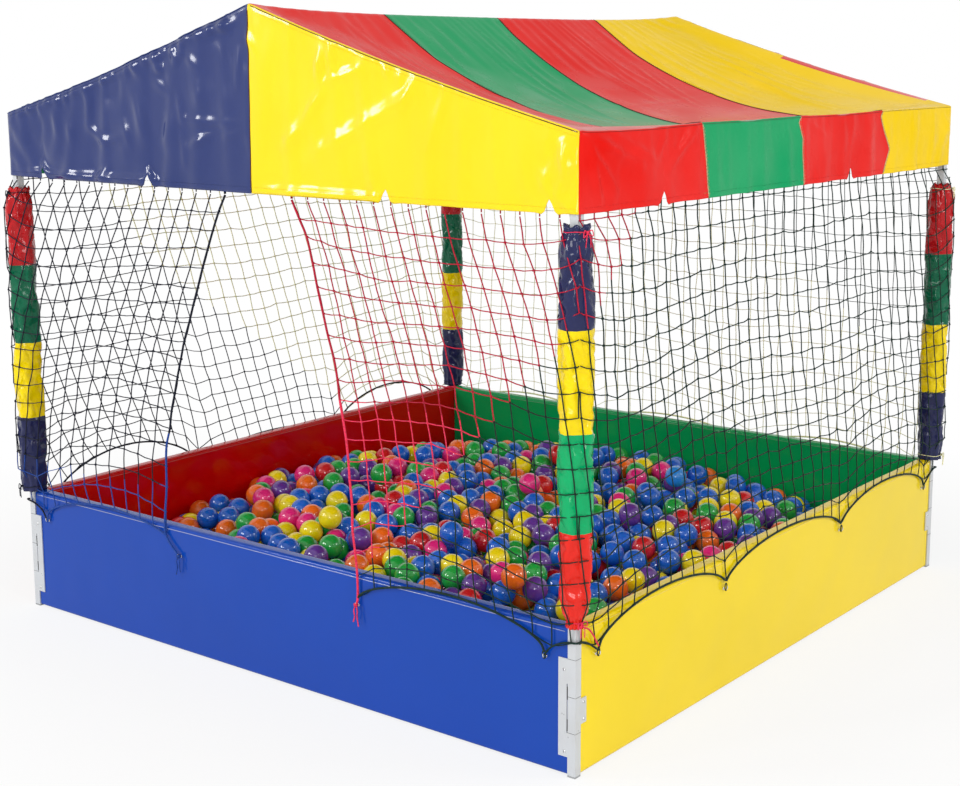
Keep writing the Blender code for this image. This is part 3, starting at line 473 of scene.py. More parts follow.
def mesh_of(name, shape, *finishes):
    """A new mesh from a bmesh, which is freed."""
    mesh = bpy.data.meshes.new(name)
    shape.to_mesh(mesh)
    shape.free()
    for finish in finishes:
        mesh.materials.append(finish)
    return mesh


def bind(piece, body, solid=None, slot=None, side=None):
    """Turns a piece to its side of the pit, hangs it under its body and hides the solid it stands for; the
    slot is not used.
    """
    if side:
        piece.matrix_world = Matrix.Rotation(TURNS[side] * pi / 2, 4, "Z")
    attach(piece, body)
    if solid:
        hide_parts(solid)


def quad_piece(name, points, faces, finishes, indices=None):
    """A smooth mesh object from arrays of points and quads."""
    mesh = bpy.data.meshes.new(name)
    points = np.asarray(points, np.float32)
    faces = np.asarray(faces, np.int32)
    mesh.vertices.add(len(points))
    mesh.vertices.foreach_set("co", points.ravel())
    mesh.loops.add(faces.size)
    mesh.loops.foreach_set("vertex_index", faces.ravel())
    mesh.polygons.add(len(faces))
    mesh.polygons.foreach_set("loop_start", np.arange(0, faces.size, 4, dtype=np.int32))
    for finish in finishes:
        mesh.materials.append(finish)
    if indices is not None:
        mesh.polygons.foreach_set("material_index", np.asarray(indices, np.int32))
    mesh.update(calc_edges=True)
    mesh.validate()
    mesh.shade_smooth()
    return link(bpy.data.objects.new(name, mesh))


def grid_quads(rows, columns, closed=False):
    """Quads of a grid of points that is stored row by row, closed round its rows or not."""
    index = np.arange(rows * columns).reshape(rows, columns)
    if closed:
        index = np.concatenate([index, index[:, :1]], axis=1)
    corners = (index[:-1, :-1], index[:-1, 1:], index[1:, 1:], index[1:, :-1])
    return np.stack(corners, axis=-1).reshape(-1, 4)


def waves(u, v, seed, count=6, low=1.0, high=4.0):
    """A smooth field of about -1 to 1 over a sheet."""
    chance = random.Random(seed)
    total = 0
    for _ in range(count):
        heading, rate, phase = chance.uniform(0, pi), chance.uniform(low, high), chance.uniform(0, 2 * pi)
        total = total + np.sin(2 * pi * rate * (u * cos(heading) + v * sin(heading)) + phase)
    return total / count**0.5 / 1.4


CAPS = {4: [(0, 1, 2, 3)], 8: [(0, 1, 2, 3), (0, 3, 4, 7), (4, 5, 6, 7)]}


class Cords:
    """Tubes and knots gathered into one mesh, with a material index for each."""

    def __init__(self):
        self.points, self.faces, self.indices, self.count = [], [], [], 0

    def add(self, points, faces, indices):
        self.points.append(points)
        self.faces.append(faces + self.count)
        self.indices.append(np.broadcast_to(indices, len(faces)))
        self.count += len(points)

    def tube(self, path, radius, index=0, sides=4, facing=(0, -1, 0)):
        """A capped tube along points. The index may be one number or one for each stretch."""
        path = np.asarray(path, float)
        along = np.gradient(path, axis=0)
        along /= np.linalg.norm(along, axis=1)[:, None]
        side = np.cross(along, facing)
        length = np.linalg.norm(side, axis=1)[:, None]
        side = np.where(length > 1e-3, side / np.maximum(length, 1e-9), np.cross(along, (0.3, 0.8, 0.5)))
        side /= np.linalg.norm(side, axis=1)[:, None]
        up = np.cross(side, along)
        turns = (np.arange(sides) + 0.5) * 2 * pi / sides
        ring = np.cos(turns)[None, :, None] * side[:, None] + np.sin(turns)[None, :, None] * up[:, None]
        points = (path[:, None] + radius * ring).reshape(-1, 3)
        body = grid_quads(len(path), sides, closed=True)
        first = np.array(CAPS[sides])
        last = first[:, ::-1] + (len(path) - 1) * sides
        stretches = np.broadcast_to(index, len(path) - 1)
        ends = [np.full(len(cap), stretch) for cap, stretch in ((first, stretches[0]), (last, stretches[-1]))]
        indices = np.concatenate([np.repeat(stretches, sides), *ends])
        self.add(points, np.concatenate([body, first, last]), indices)

    def knot(self, place, size, index=0):
        """A small rounded lump where two cords cross."""
        corners = np.array([(x, y, z) for z in (-1, 1) for y in (-1, 1) for x in (-1, 1)]) / 3**0.5
        sides = [(0, 2, 3, 1), (4, 5, 7, 6), (0, 1, 5, 4), (2, 6, 7, 3), (0, 4, 6, 2), (1, 3, 7, 5)]
        self.add(np.asarray(place) + corners * size, np.array(sides), index)

    def piece(self, name, finishes):
        points, faces = np.concatenate(self.points), np.concatenate(self.faces)
        return quad_piece(name, points, faces, finishes, np.concatenate(self.indices))


def ball_shape(steps):
    """A sphere of radius 1 made of quads: a cube's grid pushed out."""
    shape = bmesh.new()
    bmesh.ops.create_cube(shape, size=2)
    bmesh.ops.subdivide_edges(shape, edges=shape.edges[:], cuts=steps - 1, use_grid_fill=True)
    for v in shape.verts:
        v.co = Vector([np.tan(c * pi / 4) for c in v.co]).normalized()
    points = np.array([v.co for v in shape.verts])
    faces = np.array([[v.index for v in f.verts] for f in shape.faces])
    shape.free()
    return points, faces


# Roof cover


def cover_height(x_share, y_share):
    across, along = np.abs(x_share), np.abs(y_share)
    ridge = PEAK - RIDGE_DIP * (1 - along**PEAK_POWER)
    sag = GABLE_SAG + (SLOPE_SAG - GABLE_SAG) * (1 - along**SAG_POWER)
    return ridge + (EAVE - ridge) * across - sag * 4 * across * (1 - across)


def spaced(steps, vents):
    """Places from -1 to 1, evenly spaced but for those drawn to the vents' corners."""
    places = np.linspace(-1, 1, steps + 1)
    for vent in vents:
        middle = np.argmin(np.abs(places - vent / COVER_HALF))
        for shift in (-1, 0, 1):
            places[middle + shift] = (vent + shift * VENT_HALF) / COVER_HALF
    return places


def hem_rise(places, vents):
    """Rise of the lower edge, a little sharper than each notch because it is smoothed later."""
    rise = np.zeros(len(places))
    for vent in vents:
        middle = np.argmin(np.abs(places - vent / COVER_HALF))
        rise[middle - 1 : middle + 2] = np.array([-0.2, 1.42, -0.2]) * VENT_HEIGHT
    return rise


def eave_dip(x_share, y_share):
    """How far the right eave sags between the seams."""
    y = y_share * COVER_HALF
    dip = np.zeros(np.shape(y))
    for low, high, depth in EAVE_DIPS:
        dip = dip + depth * np.sin(pi * np.clip((y - low) / (high - low), 0, 1)) ** 0.7
    return dip * np.clip((x_share - 0.97) / 0.03, 0, 1) ** 1.5


def slope_height(x_share, y_share):
    return cover_height(x_share, y_share) - eave_dip(x_share, y_share)


def seam_shift(y, z):
    """How far the right valance's seams stray along the eave."""
    shift = 0
    for middle, bend in VALANCE_SEAMS:
        stray = np.interp(-np.asarray(z), [-a for a, b in bend], [b for a, b in bend])
        shift = shift + stray * np.exp(-(((y - middle) / 0.09) ** 2))
    return shift


ROOF_STEPS = 128
HANG_STEPS = 30
CRISP_EDGE = 0.003
LAPPED = (0.42, 0.93)  # between these distances from the ridge the back gable laps over
HELD_WITHIN = 1e-4  # points this near to an edge or a seam belong to it
CUT_LARGER = 0.016  # share by which the cover is larger than its frame
SAG_MOST, LIFT_MOST = 0.012, 0.011  # how far the cloth may move in and out when it drapes
SKIN = 0.0004
SAG_END, SAG_FADE = 0.97, 0.06  # in half sides: no sag from here outward, and its fade inside that
WELTS = {"slope": 0.0013, "valance": 0.0015, "eave": 0.0005, "middle": 0.0014, "rake": 0.0011}  # radii
ROWS = {"slope": 0.006, "valance": 0.007, "rake": 0.010}  # how far beside its seam a row of stitches runs
THREAD, THREAD_SHARE = 0.0005, 0.62  # a thread's radius and its share of a stitch's step

# Folds in millimetres: start and end in the plane of their panel, width and height
FRONT_FOLDS = (
    (369, 1606, 267, 1574, 12, 6), (267, 1574, 184, 1472, 14, 8), (184, 1472, 120, 1417, 18, 7),
    (277, 1676, 285, 1600, 12, 6), (246, 1641, 238, 1570, 9, 5), (548, 1590, 500, 1515, 12, 6),
    (520, 1542, 201, 1386, 20, 8), (634, 1557, 588, 1425, 9, 5), (448, 1613, 470, 1590, 9, 4),
    (503, 1600, 495, 1575, 9, 4), (900, 1400, 935, 1330, 12, 4), (-135, 1703, -35, 1720, 11, 8),
    (-100, 1722, -60, 1690, 9, 7), (-36, 1688, -42, 1560, 7, 5), (-285, 1668, -267, 1626, 8, 8),
    (-267, 1626, -235, 1656, 8, 7), (-348, 1645, -333, 1606, 10, 8), (-352, 1606, -318, 1604, 8, 6),
    (-445, 1618, -405, 1590, 10, 7), (-439, 1545, -394, 1425, 20, 7), (-360, 1580, -300, 1540, 18, 6),
    (-622, 1552, -634, 1449, 16, 6), (-634, 1449, -569, 1408, 14, 6), (-569, 1408, -500, 1420, 12, 5),
    (-263, 1545, -250, 1470, 7, 6), (-250, 1475, -40, 1468, 14, 6), (-255, 1450, -245, 1360, 10, 3),
    (-228, 1405, -140, 1440, 9, 6), (-110, 1432, -20, 1450, 10, 5), (-160, 1600, -230, 1640, 14, 4),
    (-180, 1560, -175, 1500, 20, 5), (-790, 1500, -760, 1420, 18, 5), (-720, 1460, -700, 1400, 16, 4),
    (-480, 1460, -460, 1400, 14, 5), (-330, 1400, -300, 1470, 20, 4), (-900, 1316, -640, 1309, 10, 10),
    (-660, 1309, -330, 1313, 10, 9), (-860, 1345, -815, 1316, 9, 7), (-560, 1335, -600, 1312, 9, 6),
    (-400, 1345, -370, 1315, 9, 7), (-12, 1700, 22, 1655, 12, 6), (246, 1655, 240, 1585, 10, 7),
    (30, 1306, 480, 1306, 11, 8), (961, 1453, 978, 1375, 11, 8), (978, 1400, 942, 1318, 11, 8),
    (955, 1335, 990, 1305, 9, 6),
)
RIGHT_FOLDS = (
    (-990, 1472, -780, 1394, 16, 12), (-988, 1458, -860, 1335, 14, 10), (-975, 1440, -925, 1325, 12, 9),
    (-890, 1474, -715, 1404, 12, 7), (-535, 1470, -640, 1380, 14, 8), (-660, 1470, -705, 1390, 10, 3),
    (30, 1470, 150, 1420, 10, 3), (930, 1470, 985, 1400, 14, 4),
)
BACK_FOLDS = (
    (-500, 1560, -300, 1440, 16, 6), (-300, 1440, -180, 1400, 14, 5), (250, 1640, 330, 1500, 14, 6),
    (620, 1540, 660, 1400, 12, 5), (-960, 1470, -880, 1340, 14, 6), (940, 1480, 900, 1320, 14, 6),
    (-100, 1690, -60, 1560, 12, 4),
)
LEFT_FOLDS = (
    (-980, 1470, -860, 1340, 14, 6), (300, 1470, 450, 1380, 14, 5), (960, 1470, 800, 1350, 16, 6),
    (-300, 1472, -240, 1350, 10, 4),
)


def roof_grids():
    """The cover as named grids of points: both slopes, both valances and both gables."""
    across = spaced(ROOF_STEPS, GABLE_VENTS)
    along = spaced(ROOF_STEPS, VALANCE_VENTS)
    down = np.linspace(0, 1, HANG_STEPS + 1)[:, None]
    x, y = np.meshgrid(across, along)
    grids = {"slopes": np.stack([x * COVER_HALF, y * COVER_HALF, slope_height(x, y)], axis=-1)}
    for name, side in (("right", 1), ("left", -1)):
        top = EAVE - eave_dip(side, along)
        z = top + (VALANCE_LOW + hem_rise(along, VALANCE_VENTS) - top) * down
        y = np.broadcast_to(along, z.shape) * COVER_HALF
        grids[name] = np.stack([np.full_like(z, side * COVER_HALF), y, z], axis=-1)
    for name, side in (("front", -1), ("back", 1)):
        top = cover_height(across, 1)
        z = top + (VALANCE_LOW + hem_rise(across, GABLE_VENTS) - top) * down
        if side < 0:  # a crisp upper edge on the yellow half
            z[1] = np.where(across > 0, top - CRISP_EDGE, z[1])
        x = np.broadcast_to(across, z.shape) * COVER_HALF
        grids[name] = np.stack([x, np.full_like(z, side * COVER_HALF), z], axis=-1)
    return grids


def stripe_index(y, stripes):
    """Number of the stripe's finish at each place along the roof."""
    quarter = np.clip(np.floor((y / COVER_HALF + 1) / 2 * len(stripes)), 0, len(stripes) - 1).astype(int)
    return np.array([ROOF_FINISHES.index(s) for s in stripes])[quarter]


def panel_index(name, middles):
    """Number of the finish at each place of a panel of the cover."""
    x, y = middles[:, 0], middles[:, 1]
    halves = {gable: np.array([ROOF_FINISHES.index(h) for h in pair]) for gable, pair in GABLES.items()}
    half = (x > 0).astype(int)
    if name in GABLES:
        return halves[name][half]
    striped = np.where(x > 0, stripe_index(y, RIGHT_STRIPES), stripe_index(y, LEFT_STRIPES))
    part = (np.abs(x) > LAPPED[0]) & (np.abs(x) < LAPPED[1])
    lapped = (y > COVER_HALF - BACK_LAP) & part & (name == "slopes")
    return np.where(lapped, halves["back"][half], striped)


def fold(points, start, end, width, height):
    """A tapered crease between two places, as a height at each point."""
    width = max(width, TALL_LEAST if height > TALL_FOLD else FOLD_LEAST)
    start, end = np.asarray(start, float), np.asarray(end, float)
    line = end - start
    t = np.clip(((points - start) @ line) / (line @ line), 0, 1)
    away = np.linalg.norm(points - (start + t[:, None] * line), axis=1)
    return height * np.clip(np.sin(pi * (0.12 + 0.76 * t)), 0, 1) * np.exp(-((away / width) ** 2))


def slope_folds(seed):
    """Long soft folds that run down a slope from the ridge, and a crease from storage across it."""
    chance = random.Random(seed)
    folds = [((0.43, -0.98), (0.45, 0.98), 0.006, 0.0012)]
    for _ in range(SLOPE_FOLDS):
        x, y = chance.uniform(0.03, 0.35), chance.uniform(-0.95, 0.95)
        length, drift = chance.uniform(0.15, 0.55), chance.uniform(-0.16, 0.04)
        end = (min(x + length, 0.94), y + drift * length / 0.4)
        folds.append(((x, y), end, chance.uniform(0.005, 0.014), chance.uniform(0.0015, 0.0045)))
    return folds


def in_metres(folds):
    """Folds as (start, end, width, height) from rows of millimetres."""
    for a, b, c, d, width, height in folds:
        yield (a / 1000, b / 1000), (c / 1000, d / 1000), width / 1000, height / 1000


def rake_fold(x, drop):
    """A place this far below a gable's upper edge."""
    return x, float(cover_height(x / COVER_HALF, 1)) - drop


def rafter_puckers(seed, low, high):
    """Small tucks under the sewn top edge of a gable, and a crease where it bends over the rafter."""
    chance = random.Random(seed)
    tucks = []
    x = low
    while x < high:
        top = float(cover_height(x / COVER_HALF, 1)) - 0.002
        lean, length = chance.uniform(-0.014, 0.014), chance.uniform(0.018, 0.050)
        tucks.append(((x, top), (x + lean, top - length), 0.006, chance.uniform(0.002, 0.005)))
        step = chance.uniform(0.030, 0.075)
        ends = [rake_fold(place, chance.uniform(0.018, 0.026)) for place in (x, x + step * 1.1)]
        tucks.append((*ends, 0.008, chance.uniform(0.003, 0.007)))
        x += step
    return tucks


def crease(cover):
    """Adds the folds, each along the surface's own direction."""
    rest, normals = places_of(cover), normals_of(cover)
    x, y, z = rest.T
    lift = np.zeros(len(rest))
    panels = (
        (-normals[:, 1], (x, z), [*in_metres(FRONT_FOLDS), *rafter_puckers(31, -0.96, -0.08)]),
        (normals[:, 1], (x, z), [*in_metres(BACK_FOLDS), *rafter_puckers(32, -0.96, 0.96)]),
        (normals[:, 0], (y, z), in_metres(RIGHT_FOLDS)),
        (-normals[:, 0], (y, z), in_metres(LEFT_FOLDS)),
        (normals[:, 2] * (x > 0), (x, y), slope_folds(41)),
        (normals[:, 2] * (x < 0), (-x, y), slope_folds(42)),
    )
    for facing, flat, folds in panels:
        own = facing > 0.6
        points = np.stack(flat, axis=1)[own]
        for each in folds:
            lift[own] += fold(points, *each)
        hung = own & (np.abs(normals[:, 2]) < 0.5)
        u, v = np.stack(flat, axis=1)[hung].T
        fade = np.clip((COVER_HALF - np.abs(u)) / 0.08, 0, 1)
        dull = np.where((normals[hung, 1] < -0.6) & (u > 0), 0.35, 1)
        billow = BILLOW_LIFT
        for height, seed, count, slow, fast, stretch in BILLOWS:
            billow = billow + height * waves(u, v * stretch, seed, count, slow, fast)
        lift[hung] += billow * fade * dull
    set_places(cover, rest + normals * np.clip(lift, CREASE_LOW, CREASE_HIGH)[:, None])


def refined(piece):
    """Replaces a mesh by one smooth subdivision of itself."""
    smooth = piece.modifiers.new("smooth", "SUBSURF")
    smooth.levels = smooth.render_levels = 1
    evaluated = piece.evaluated_get(bpy.context.evaluated_depsgraph_get())
    mesh = bpy.data.meshes.new_from_object(evaluated)
    piece.modifiers.clear()
    piece.data = mesh
    mesh.shade_smooth()


def on_skin(tree, origins, direction, lift):
    """Places just outside a surface, where lines from these origins meet it."""
    path = []
    for origin in origins:
        spot, normal, _, _ = tree.ray_cast(Vector(origin), Vector(direction))
        if spot:
            path.append(spot - normal * lift if normal.dot(Vector(direction)) > 0 else spot + normal * lift)
    return np.array(path)


def stitches(cords, path, index):
    """Short threads laid along a path."""
    far = np.concatenate([[0], np.cumsum(np.linalg.norm(np.diff(path, axis=0), axis=1))])
    starts = np.arange(STITCH_STEP, far[-1] - STITCH_STEP, STITCH_STEP)
    first = np.stack([np.interp(starts, far, axis) for axis in path.T], axis=1)
    last = np.stack([np.interp(starts + STITCH_STEP * THREAD_SHARE, far, axis) for axis in path.T], axis=1)
    for pair in zip(first, last):
        cords.tube(pair, THREAD, index)


def roof_seams(cover, finishes):
    """Welts over the seams, with a row of stitches beside each, and the stitched hem."""
    places = [v.co for v in cover.data.vertices]
    tree = BVHTree.FromPolygons(places, [f.vertices[:] for f in cover.data.polygons])
    cords = Cords()

    def welt(origins, direction, radius, index, sides=8, facing=(0, -1, 0), lift=WELT_LIFT):
        cords.tube(on_skin(tree, origins, direction, lift), radius, index, sides, facing)

    def row(origins, direction, index):
        stitches(cords, on_skin(tree, origins, direction, STITCH_LIFT), index)

    xs = np.linspace(0.004, 0.999, 130) * COVER_HALF
    ys = np.linspace(-0.996, 0.996, 220) * COVER_HALF
    zs = np.linspace(EAVE - 0.004, VALANCE_LOW + 0.002, 26)
    for side, stripes in ((1, RIGHT_STRIPES), (-1, LEFT_STRIPES)):
        far, down, aside, inward = side * 2 * COVER_HALF, (0, 0, -1), (-side, 0, 0), (0, -side, 0)
        for y in (-COVER_HALF / 2, 0, COVER_HALF / 2):
            welt([(side * x, y, 2) for x in xs], down, WELTS["slope"], DARK, facing=(0, 0, 1))
            row([(side * x, y + ROWS["slope"], 2) for x in xs], down, DARK)
            stray = seam_shift(y, zs) if side > 0 else np.zeros(len(zs))
            hung = [(far, y + a, z) for a, z in zip(stray, zs)]
            welt(hung, aside, WELTS["valance"], PALE, facing=(1, 0, 0))
            row([(x, y + ROWS["valance"], z) for x, y, z in hung], aside, PALE)
        eave = [(far, y, EAVE - 0.004 - float(eave_dip(side, y / COVER_HALF))) for y in ys]
        welt(eave, aside, WELTS["eave"], DARK, sides=4, facing=(0, 0, 1), lift=0.0005)
        for stripe, part in zip(stripes, np.array_split(ys, len(stripes))):
            row([(far, y, VALANCE_LOW + HEM) for y in part], aside, THREADS[stripe])
        middle = [(0, far, z) for z in np.linspace(PEAK - 0.02, VALANCE_LOW, 60)]
        welt(middle, inward, WELTS["middle"], DARK)
        for half, name in zip((-1, 1), GABLES["back" if side > 0 else "front"]):
            thread = THREADS[name.removeprefix("gable_")]
            row([(x, far, VALANCE_LOW + HEM) for x in ys[ys * half > 0]], inward, thread)
            shares = np.linspace(0.012, 0.996, 150)
            rake = [(half * a * COVER_HALF, far, float(cover_height(a, 1)) - 0.005) for a in shares]
            welt(rake, inward, WELTS["rake"], DARK if half > 0 else thread)
            row([(x, y, z - ROWS["rake"]) for x, y, z in rake], inward, thread)
    made = cords.piece("roof_cover_seams", finishes)
    bind(made, "roof_cover", slot="vinyl_red")
    return made


def cover_piece(finishes):
    """The cover as sewn, one mesh, before it drapes."""
    grids = roof_grids()
    points, faces, indices, count = [], [], [], 0
    for name, grid in grids.items():
        flat = grid.reshape(-1, 3)
        quads = grid_quads(*grid.shape[:2])
        points.append(flat)
        indices.append(panel_index(name, flat[quads].mean(axis=1)))
        if name == "right":
            flat[:, 1] += seam_shift(flat[:, 1], flat[:, 2])
        faces.append(quads + count)
        count += len(flat)
    points, faces = np.concatenate(points), np.concatenate(faces)
    cover = quad_piece("roof_cover_sewn", points, faces, finishes, np.concatenate(indices))
    shape = bmesh.new()
    shape.from_mesh(cover.data)
    bmesh.ops.remove_doubles(shape, verts=shape.verts[:], dist=1e-5)
    bmesh.ops.recalc_face_normals(shape, faces=shape.faces[:])
    shape.to_mesh(cover.data)
    shape.free()
    return cover


def places_of(piece):
    points = np.empty(len(piece.data.vertices) * 3)
    piece.data.vertices.foreach_get("co", points)
    return points.reshape(-1, 3)


def set_places(piece, points):
    piece.data.vertices.foreach_set("co", points.astype(np.float32).ravel())
    piece.data.update()


def normals_of(piece):
    normals = np.empty(len(piece.data.vertices) * 3)
    piece.data.vertex_normals.foreach_get("vector", normals)
    return normals.reshape(-1, 3)


def simulate(piece, held, frames, growth, pressure=0.0, gravity=0.0, mass=0.4, stiffness=15.0, bending=0.5):
    """Cloth held at some vertices, cut a little too large, so that it wrinkles. The result is the mesh."""
    group = piece.vertex_groups.new(name="held")
    group.add([int(n) for n in held], 1.0, "REPLACE")
    cloth = piece.modifiers.new("cloth", "CLOTH")
    settings = cloth.settings
    settings.quality = 6
    settings.mass = mass
    settings.tension_stiffness = settings.compression_stiffness = stiffness
    settings.shear_stiffness = stiffness / 3
    settings.bending_stiffness = bending
    settings.vertex_group_mass = group.name
    settings.shrink_min = -growth
    settings.effector_weights.gravity = gravity
    settings.use_pressure = pressure > 0
    settings.uniform_pressure_force = pressure
    cloth.collision_settings.use_collision = False
    scene = bpy.context.scene
    for number in range(1, frames + 1):
        scene.frame_set(number)
    evaluated = piece.evaluated_get(bpy.context.evaluated_depsgraph_get())
    points = np.empty(len(piece.data.vertices) * 3)
    evaluated.data.vertices.foreach_get("co", points)
    piece.modifiers.remove(cloth)
    piece.vertex_groups.remove(group)
    scene.frame_set(1)
    return points.reshape(-1, 3)


def drape_roof(cover):
    """Wrinkles of the sewn cover, which is a little too large for its frame."""
    rest = places_of(cover)
    normals = normals_of(cover)
    signed = (rest / COVER_HALF)[:, :2].T
    x, y = np.abs(signed)
    edge = 1 - HELD_WITHIN
    rafters = (y > edge) & (rest[:, 2] > cover_height(x, 1) - HELD_WITHIN)
    on_slope = np.abs(rest[:, 2] - slope_height(*signed)) < HELD_WITHIN
    eaves = (x > edge) & on_slope
    corners = (x > edge) & (y > edge)
    ridge = x < HELD_WITHIN
    held = np.flatnonzero(rafters | eaves | corners | (ridge & on_slope))
    moved = simulate(cover, held, 26, CUT_LARGER, gravity=0.25, stiffness=20, bending=0.6) - rest
    out = (moved * normals).sum(axis=1)
    inside = np.clip((SAG_END - np.maximum(x, y)) / SAG_FADE, 0, 1)
    low = -SKIN - SAG_MOST * inside * (on_slope & ~rafters)
    kept = moved * 0.5 + normals * (np.clip(out, low, LIFT_MOST) - out * 0.5)[:, None]
    set_places(cover, rest + kept)


def roof(finishes, threads):
    """The sewn cover with its seams, as one sheet that lies on the frame."""
    cover = cover_piece(finishes)
    drape_roof(cover)
    refined(cover)
    crease(cover)
    seams = roof_seams(cover, threads)
    shell = cover.modifiers.new("thickness", "SOLIDIFY")
    shell.thickness = CLOTH
    shell.offset = -1
    bind(cover, "roof_cover", "roof_cover", "vinyl_red")


# Padded walls

WALL_STATIONS = 120
WALL_ROUNDING = 0.010
WALL_HEM = 0.004  # the lower edge turns in below this height
MITRE_START = 0.0205  # the ends are mitred from this depth on
END_SHARE = 0.985  # how strongly the stations crowd toward the ends
WAVINESS, FINE_WAVINESS, TOP_WAVINESS = 0.0009, 0.0004, 0.0010
MITRE_GAP = 0.0006
FACE_SKIN = 0.001  # points this near to a face swell with it
EDGE_FADE = 0.012  # the swelling fades over this distance to the upper and lower edge
END_FADE = 0.03  # and over this share of the half length to the ends
END_INSET = 0.0025
WELT_DROP = 0.012
WELT_RADIUS, WELT_WAVINESS, WELT_STATIONS = 0.0012, 0.0006, 60


def wall_section():
    """Outline of a wall pad as (depth from the outer face, height), from the outer foot over the top."""
    thick, radius, hem = WALL_OUT - WALL_IN, WALL_ROUNDING, WALL_LIFT + WALL_HEM
    outer = [(0, WALL_LIFT)] + [(0, z) for z in np.linspace(hem, WALL_TOP - radius, 15)]
    arc = np.linspace(0, pi / 2, 6)[1:]
    rise = [(radius - radius * cos(a), WALL_TOP - radius + radius * sin(a)) for a in arc]
    top = [(d, WALL_TOP) for d in np.linspace(radius, thick - radius, 5)[1:]]
    fall = [(thick - radius + radius * sin(a), WALL_TOP - radius + radius * cos(a)) for a in arc]
    inner = [(thick, z) for z in np.linspace(WALL_TOP - radius, hem, 15)[1:]] + [(thick, WALL_LIFT)]
    foot = [(d, WALL_LIFT) for d in np.linspace(thick, 0, 5)[1:-1]]
    return np.array(outer + rise + top + fall + inner + foot)


def wall(side, finish, highlit_piping, slot):
    """A vinyl jacket over foam, a little wavy, rounded at the ends."""
    section = wall_section()
    depth, height = section.T
    thick = WALL_OUT - WALL_IN
    shares = np.sin(np.linspace(-1, 1, WALL_STATIONS) * pi / 2 * END_SHARE) / sin(pi / 2 * END_SHARE)
    mitre = np.clip((depth - MITRE_START) / (thick - MITRE_START), 0, 1)
    reach = WALL_END - (WALL_END - WALL_IN + MITRE_GAP) * mitre
    x = shares[:, None] * reach
    y = np.broadcast_to(-WALL_OUT + depth, x.shape)
    z = np.broadcast_to(height, x.shape).copy()
    face = np.where(depth < FACE_SKIN, -1.0, np.where(depth > thick - FACE_SKIN, 1.0, 0.0))
    middle = np.clip(np.minimum(z - WALL_LIFT, WALL_TOP - z) / EDGE_FADE, 0, 1)
    ends = np.clip((1 - np.abs(shares))[:, None] / END_FADE, 0, 1)
    ripple = waves(x, z, len(side) * 7 + TURNS[side], count=7, low=0.5, high=2.4)
    fine = waves(x, z, len(side) + TURNS[side], count=7, low=4, high=11)
    swell = (WAVINESS * ripple + FINE_WAVINESS * fine - FINE_WAVINESS) * middle * ends
    y = y + np.where(face < 0, -swell, np.where(face > 0, swell, 0))
    dips = TOP_WAVINESS * (ripple * 0.6 + fine * 0.4) - TOP_WAVINESS
    z = z + np.where(height > WALL_TOP - 0.004, dips, 0) * ends
    points = np.stack([x, y, z], axis=-1)
    loops = len(section)
    faces = grid_quads(WALL_STATIONS, loops, closed=True)
    pad = quad_piece(f"wall_jacket_{side}", points.reshape(-1, 3), faces, [finish])
    shape = bmesh.new()
    shape.from_mesh(pad.data)
    rims = [e for e in shape.edges if e.is_boundary]
    bmesh.ops.holes_fill(shape, edges=rims, sides=0)
    ends_made = [f for f in shape.faces if len(f.verts) > 4]
    bmesh.ops.inset_region(shape, faces=ends_made, thickness=END_INSET, depth=0)
    bmesh.ops.recalc_face_normals(shape, faces=shape.faces[:])
    shape.to_mesh(pad.data)
    shape.free()
    pad.data.shade_smooth()
    bind(pad, "base", f"wall_pad_{side}", slot, side)
    wall_welt(side, highlit_piping)


def wall_welt(side, finish):
    """A piped seam along both upper edges of a wall's jacket."""
    cords = Cords()
    for deep, reach in ((WALL_OUT, WALL_END - 0.008), (WALL_IN, WALL_IN - 0.004)):
        along = np.linspace(-reach, reach, WELT_STATIONS)
        ripple = waves(along, along * 0, TURNS[side] + 3, low=1, high=4)
        rise = WALL_TOP - WELT_DROP + WELT_WAVINESS * ripple
        cords.tube(np.stack([along, np.full(WELT_STATIONS, -deep), rise], axis=-1), WELT_RADIUS, 0, sides=8)
    bind(cords.piece(f"wall_welt_{side}", [finish]), "base", side=side)


# Post covers

SLEEVE_SIDES = 56
SLEEVE_RINGS = 130
NECK = 0.014
GATHER, PLEATS, PLEAT = 0.055, 11, 0.0030  # how far the gathering reaches, its pleats and their height
BAND_SEAM, BAND_SEAM_DEPTH = 0.006, 0.0016
CRINKLE = 0.0017
FRILL, FRILLS, FRILL_REACH = 0.0035, 7, 0.010
AROUND = 0.040  # metres of crinkle pattern to a radian
SLACK_MOST = 0.006
HELD_RINGS = 3  # rings at each end that don't move when the vinyl swells
DRAWSTRING, DRAWSTRING_PROUD, DRAWSTRING_WAVINESS = 0.0013, 0.0030, 0.0012
BOW_KNOT, FOOT_ROPE = 0.0050, 0.0040
FOOT_LOOP = ((-0.004, -0.021, 0.372), (0.023, 0.004, 0.364), (0.022, 0.034, 0.345), (0.0185, 0.070, 0.300))
SLEEVE_DOWN = (0, 0.2, 0.38, 0.7, 1.4, 4.5)  # distances from the top in radii
SLEEVE_UP = (0, 0.2, 0.38, 0.9, 1.9, 4.1)
DRAWN_TOP = (0.68, 0.70, 0.64, 0.82, 0.93, 0.99)  # radius shares at those distances
DOMED_TOP = (0.50, 0.68, 0.76, 0.88, 0.96, 0.99)
DRAWN_FOOT = (0.46, 0.44, 0.40, 0.68, 0.87, 0.99)
STRAIGHT_FOOT = (0.84, 0.84, 0.82, 0.90, 0.96, 0.99)
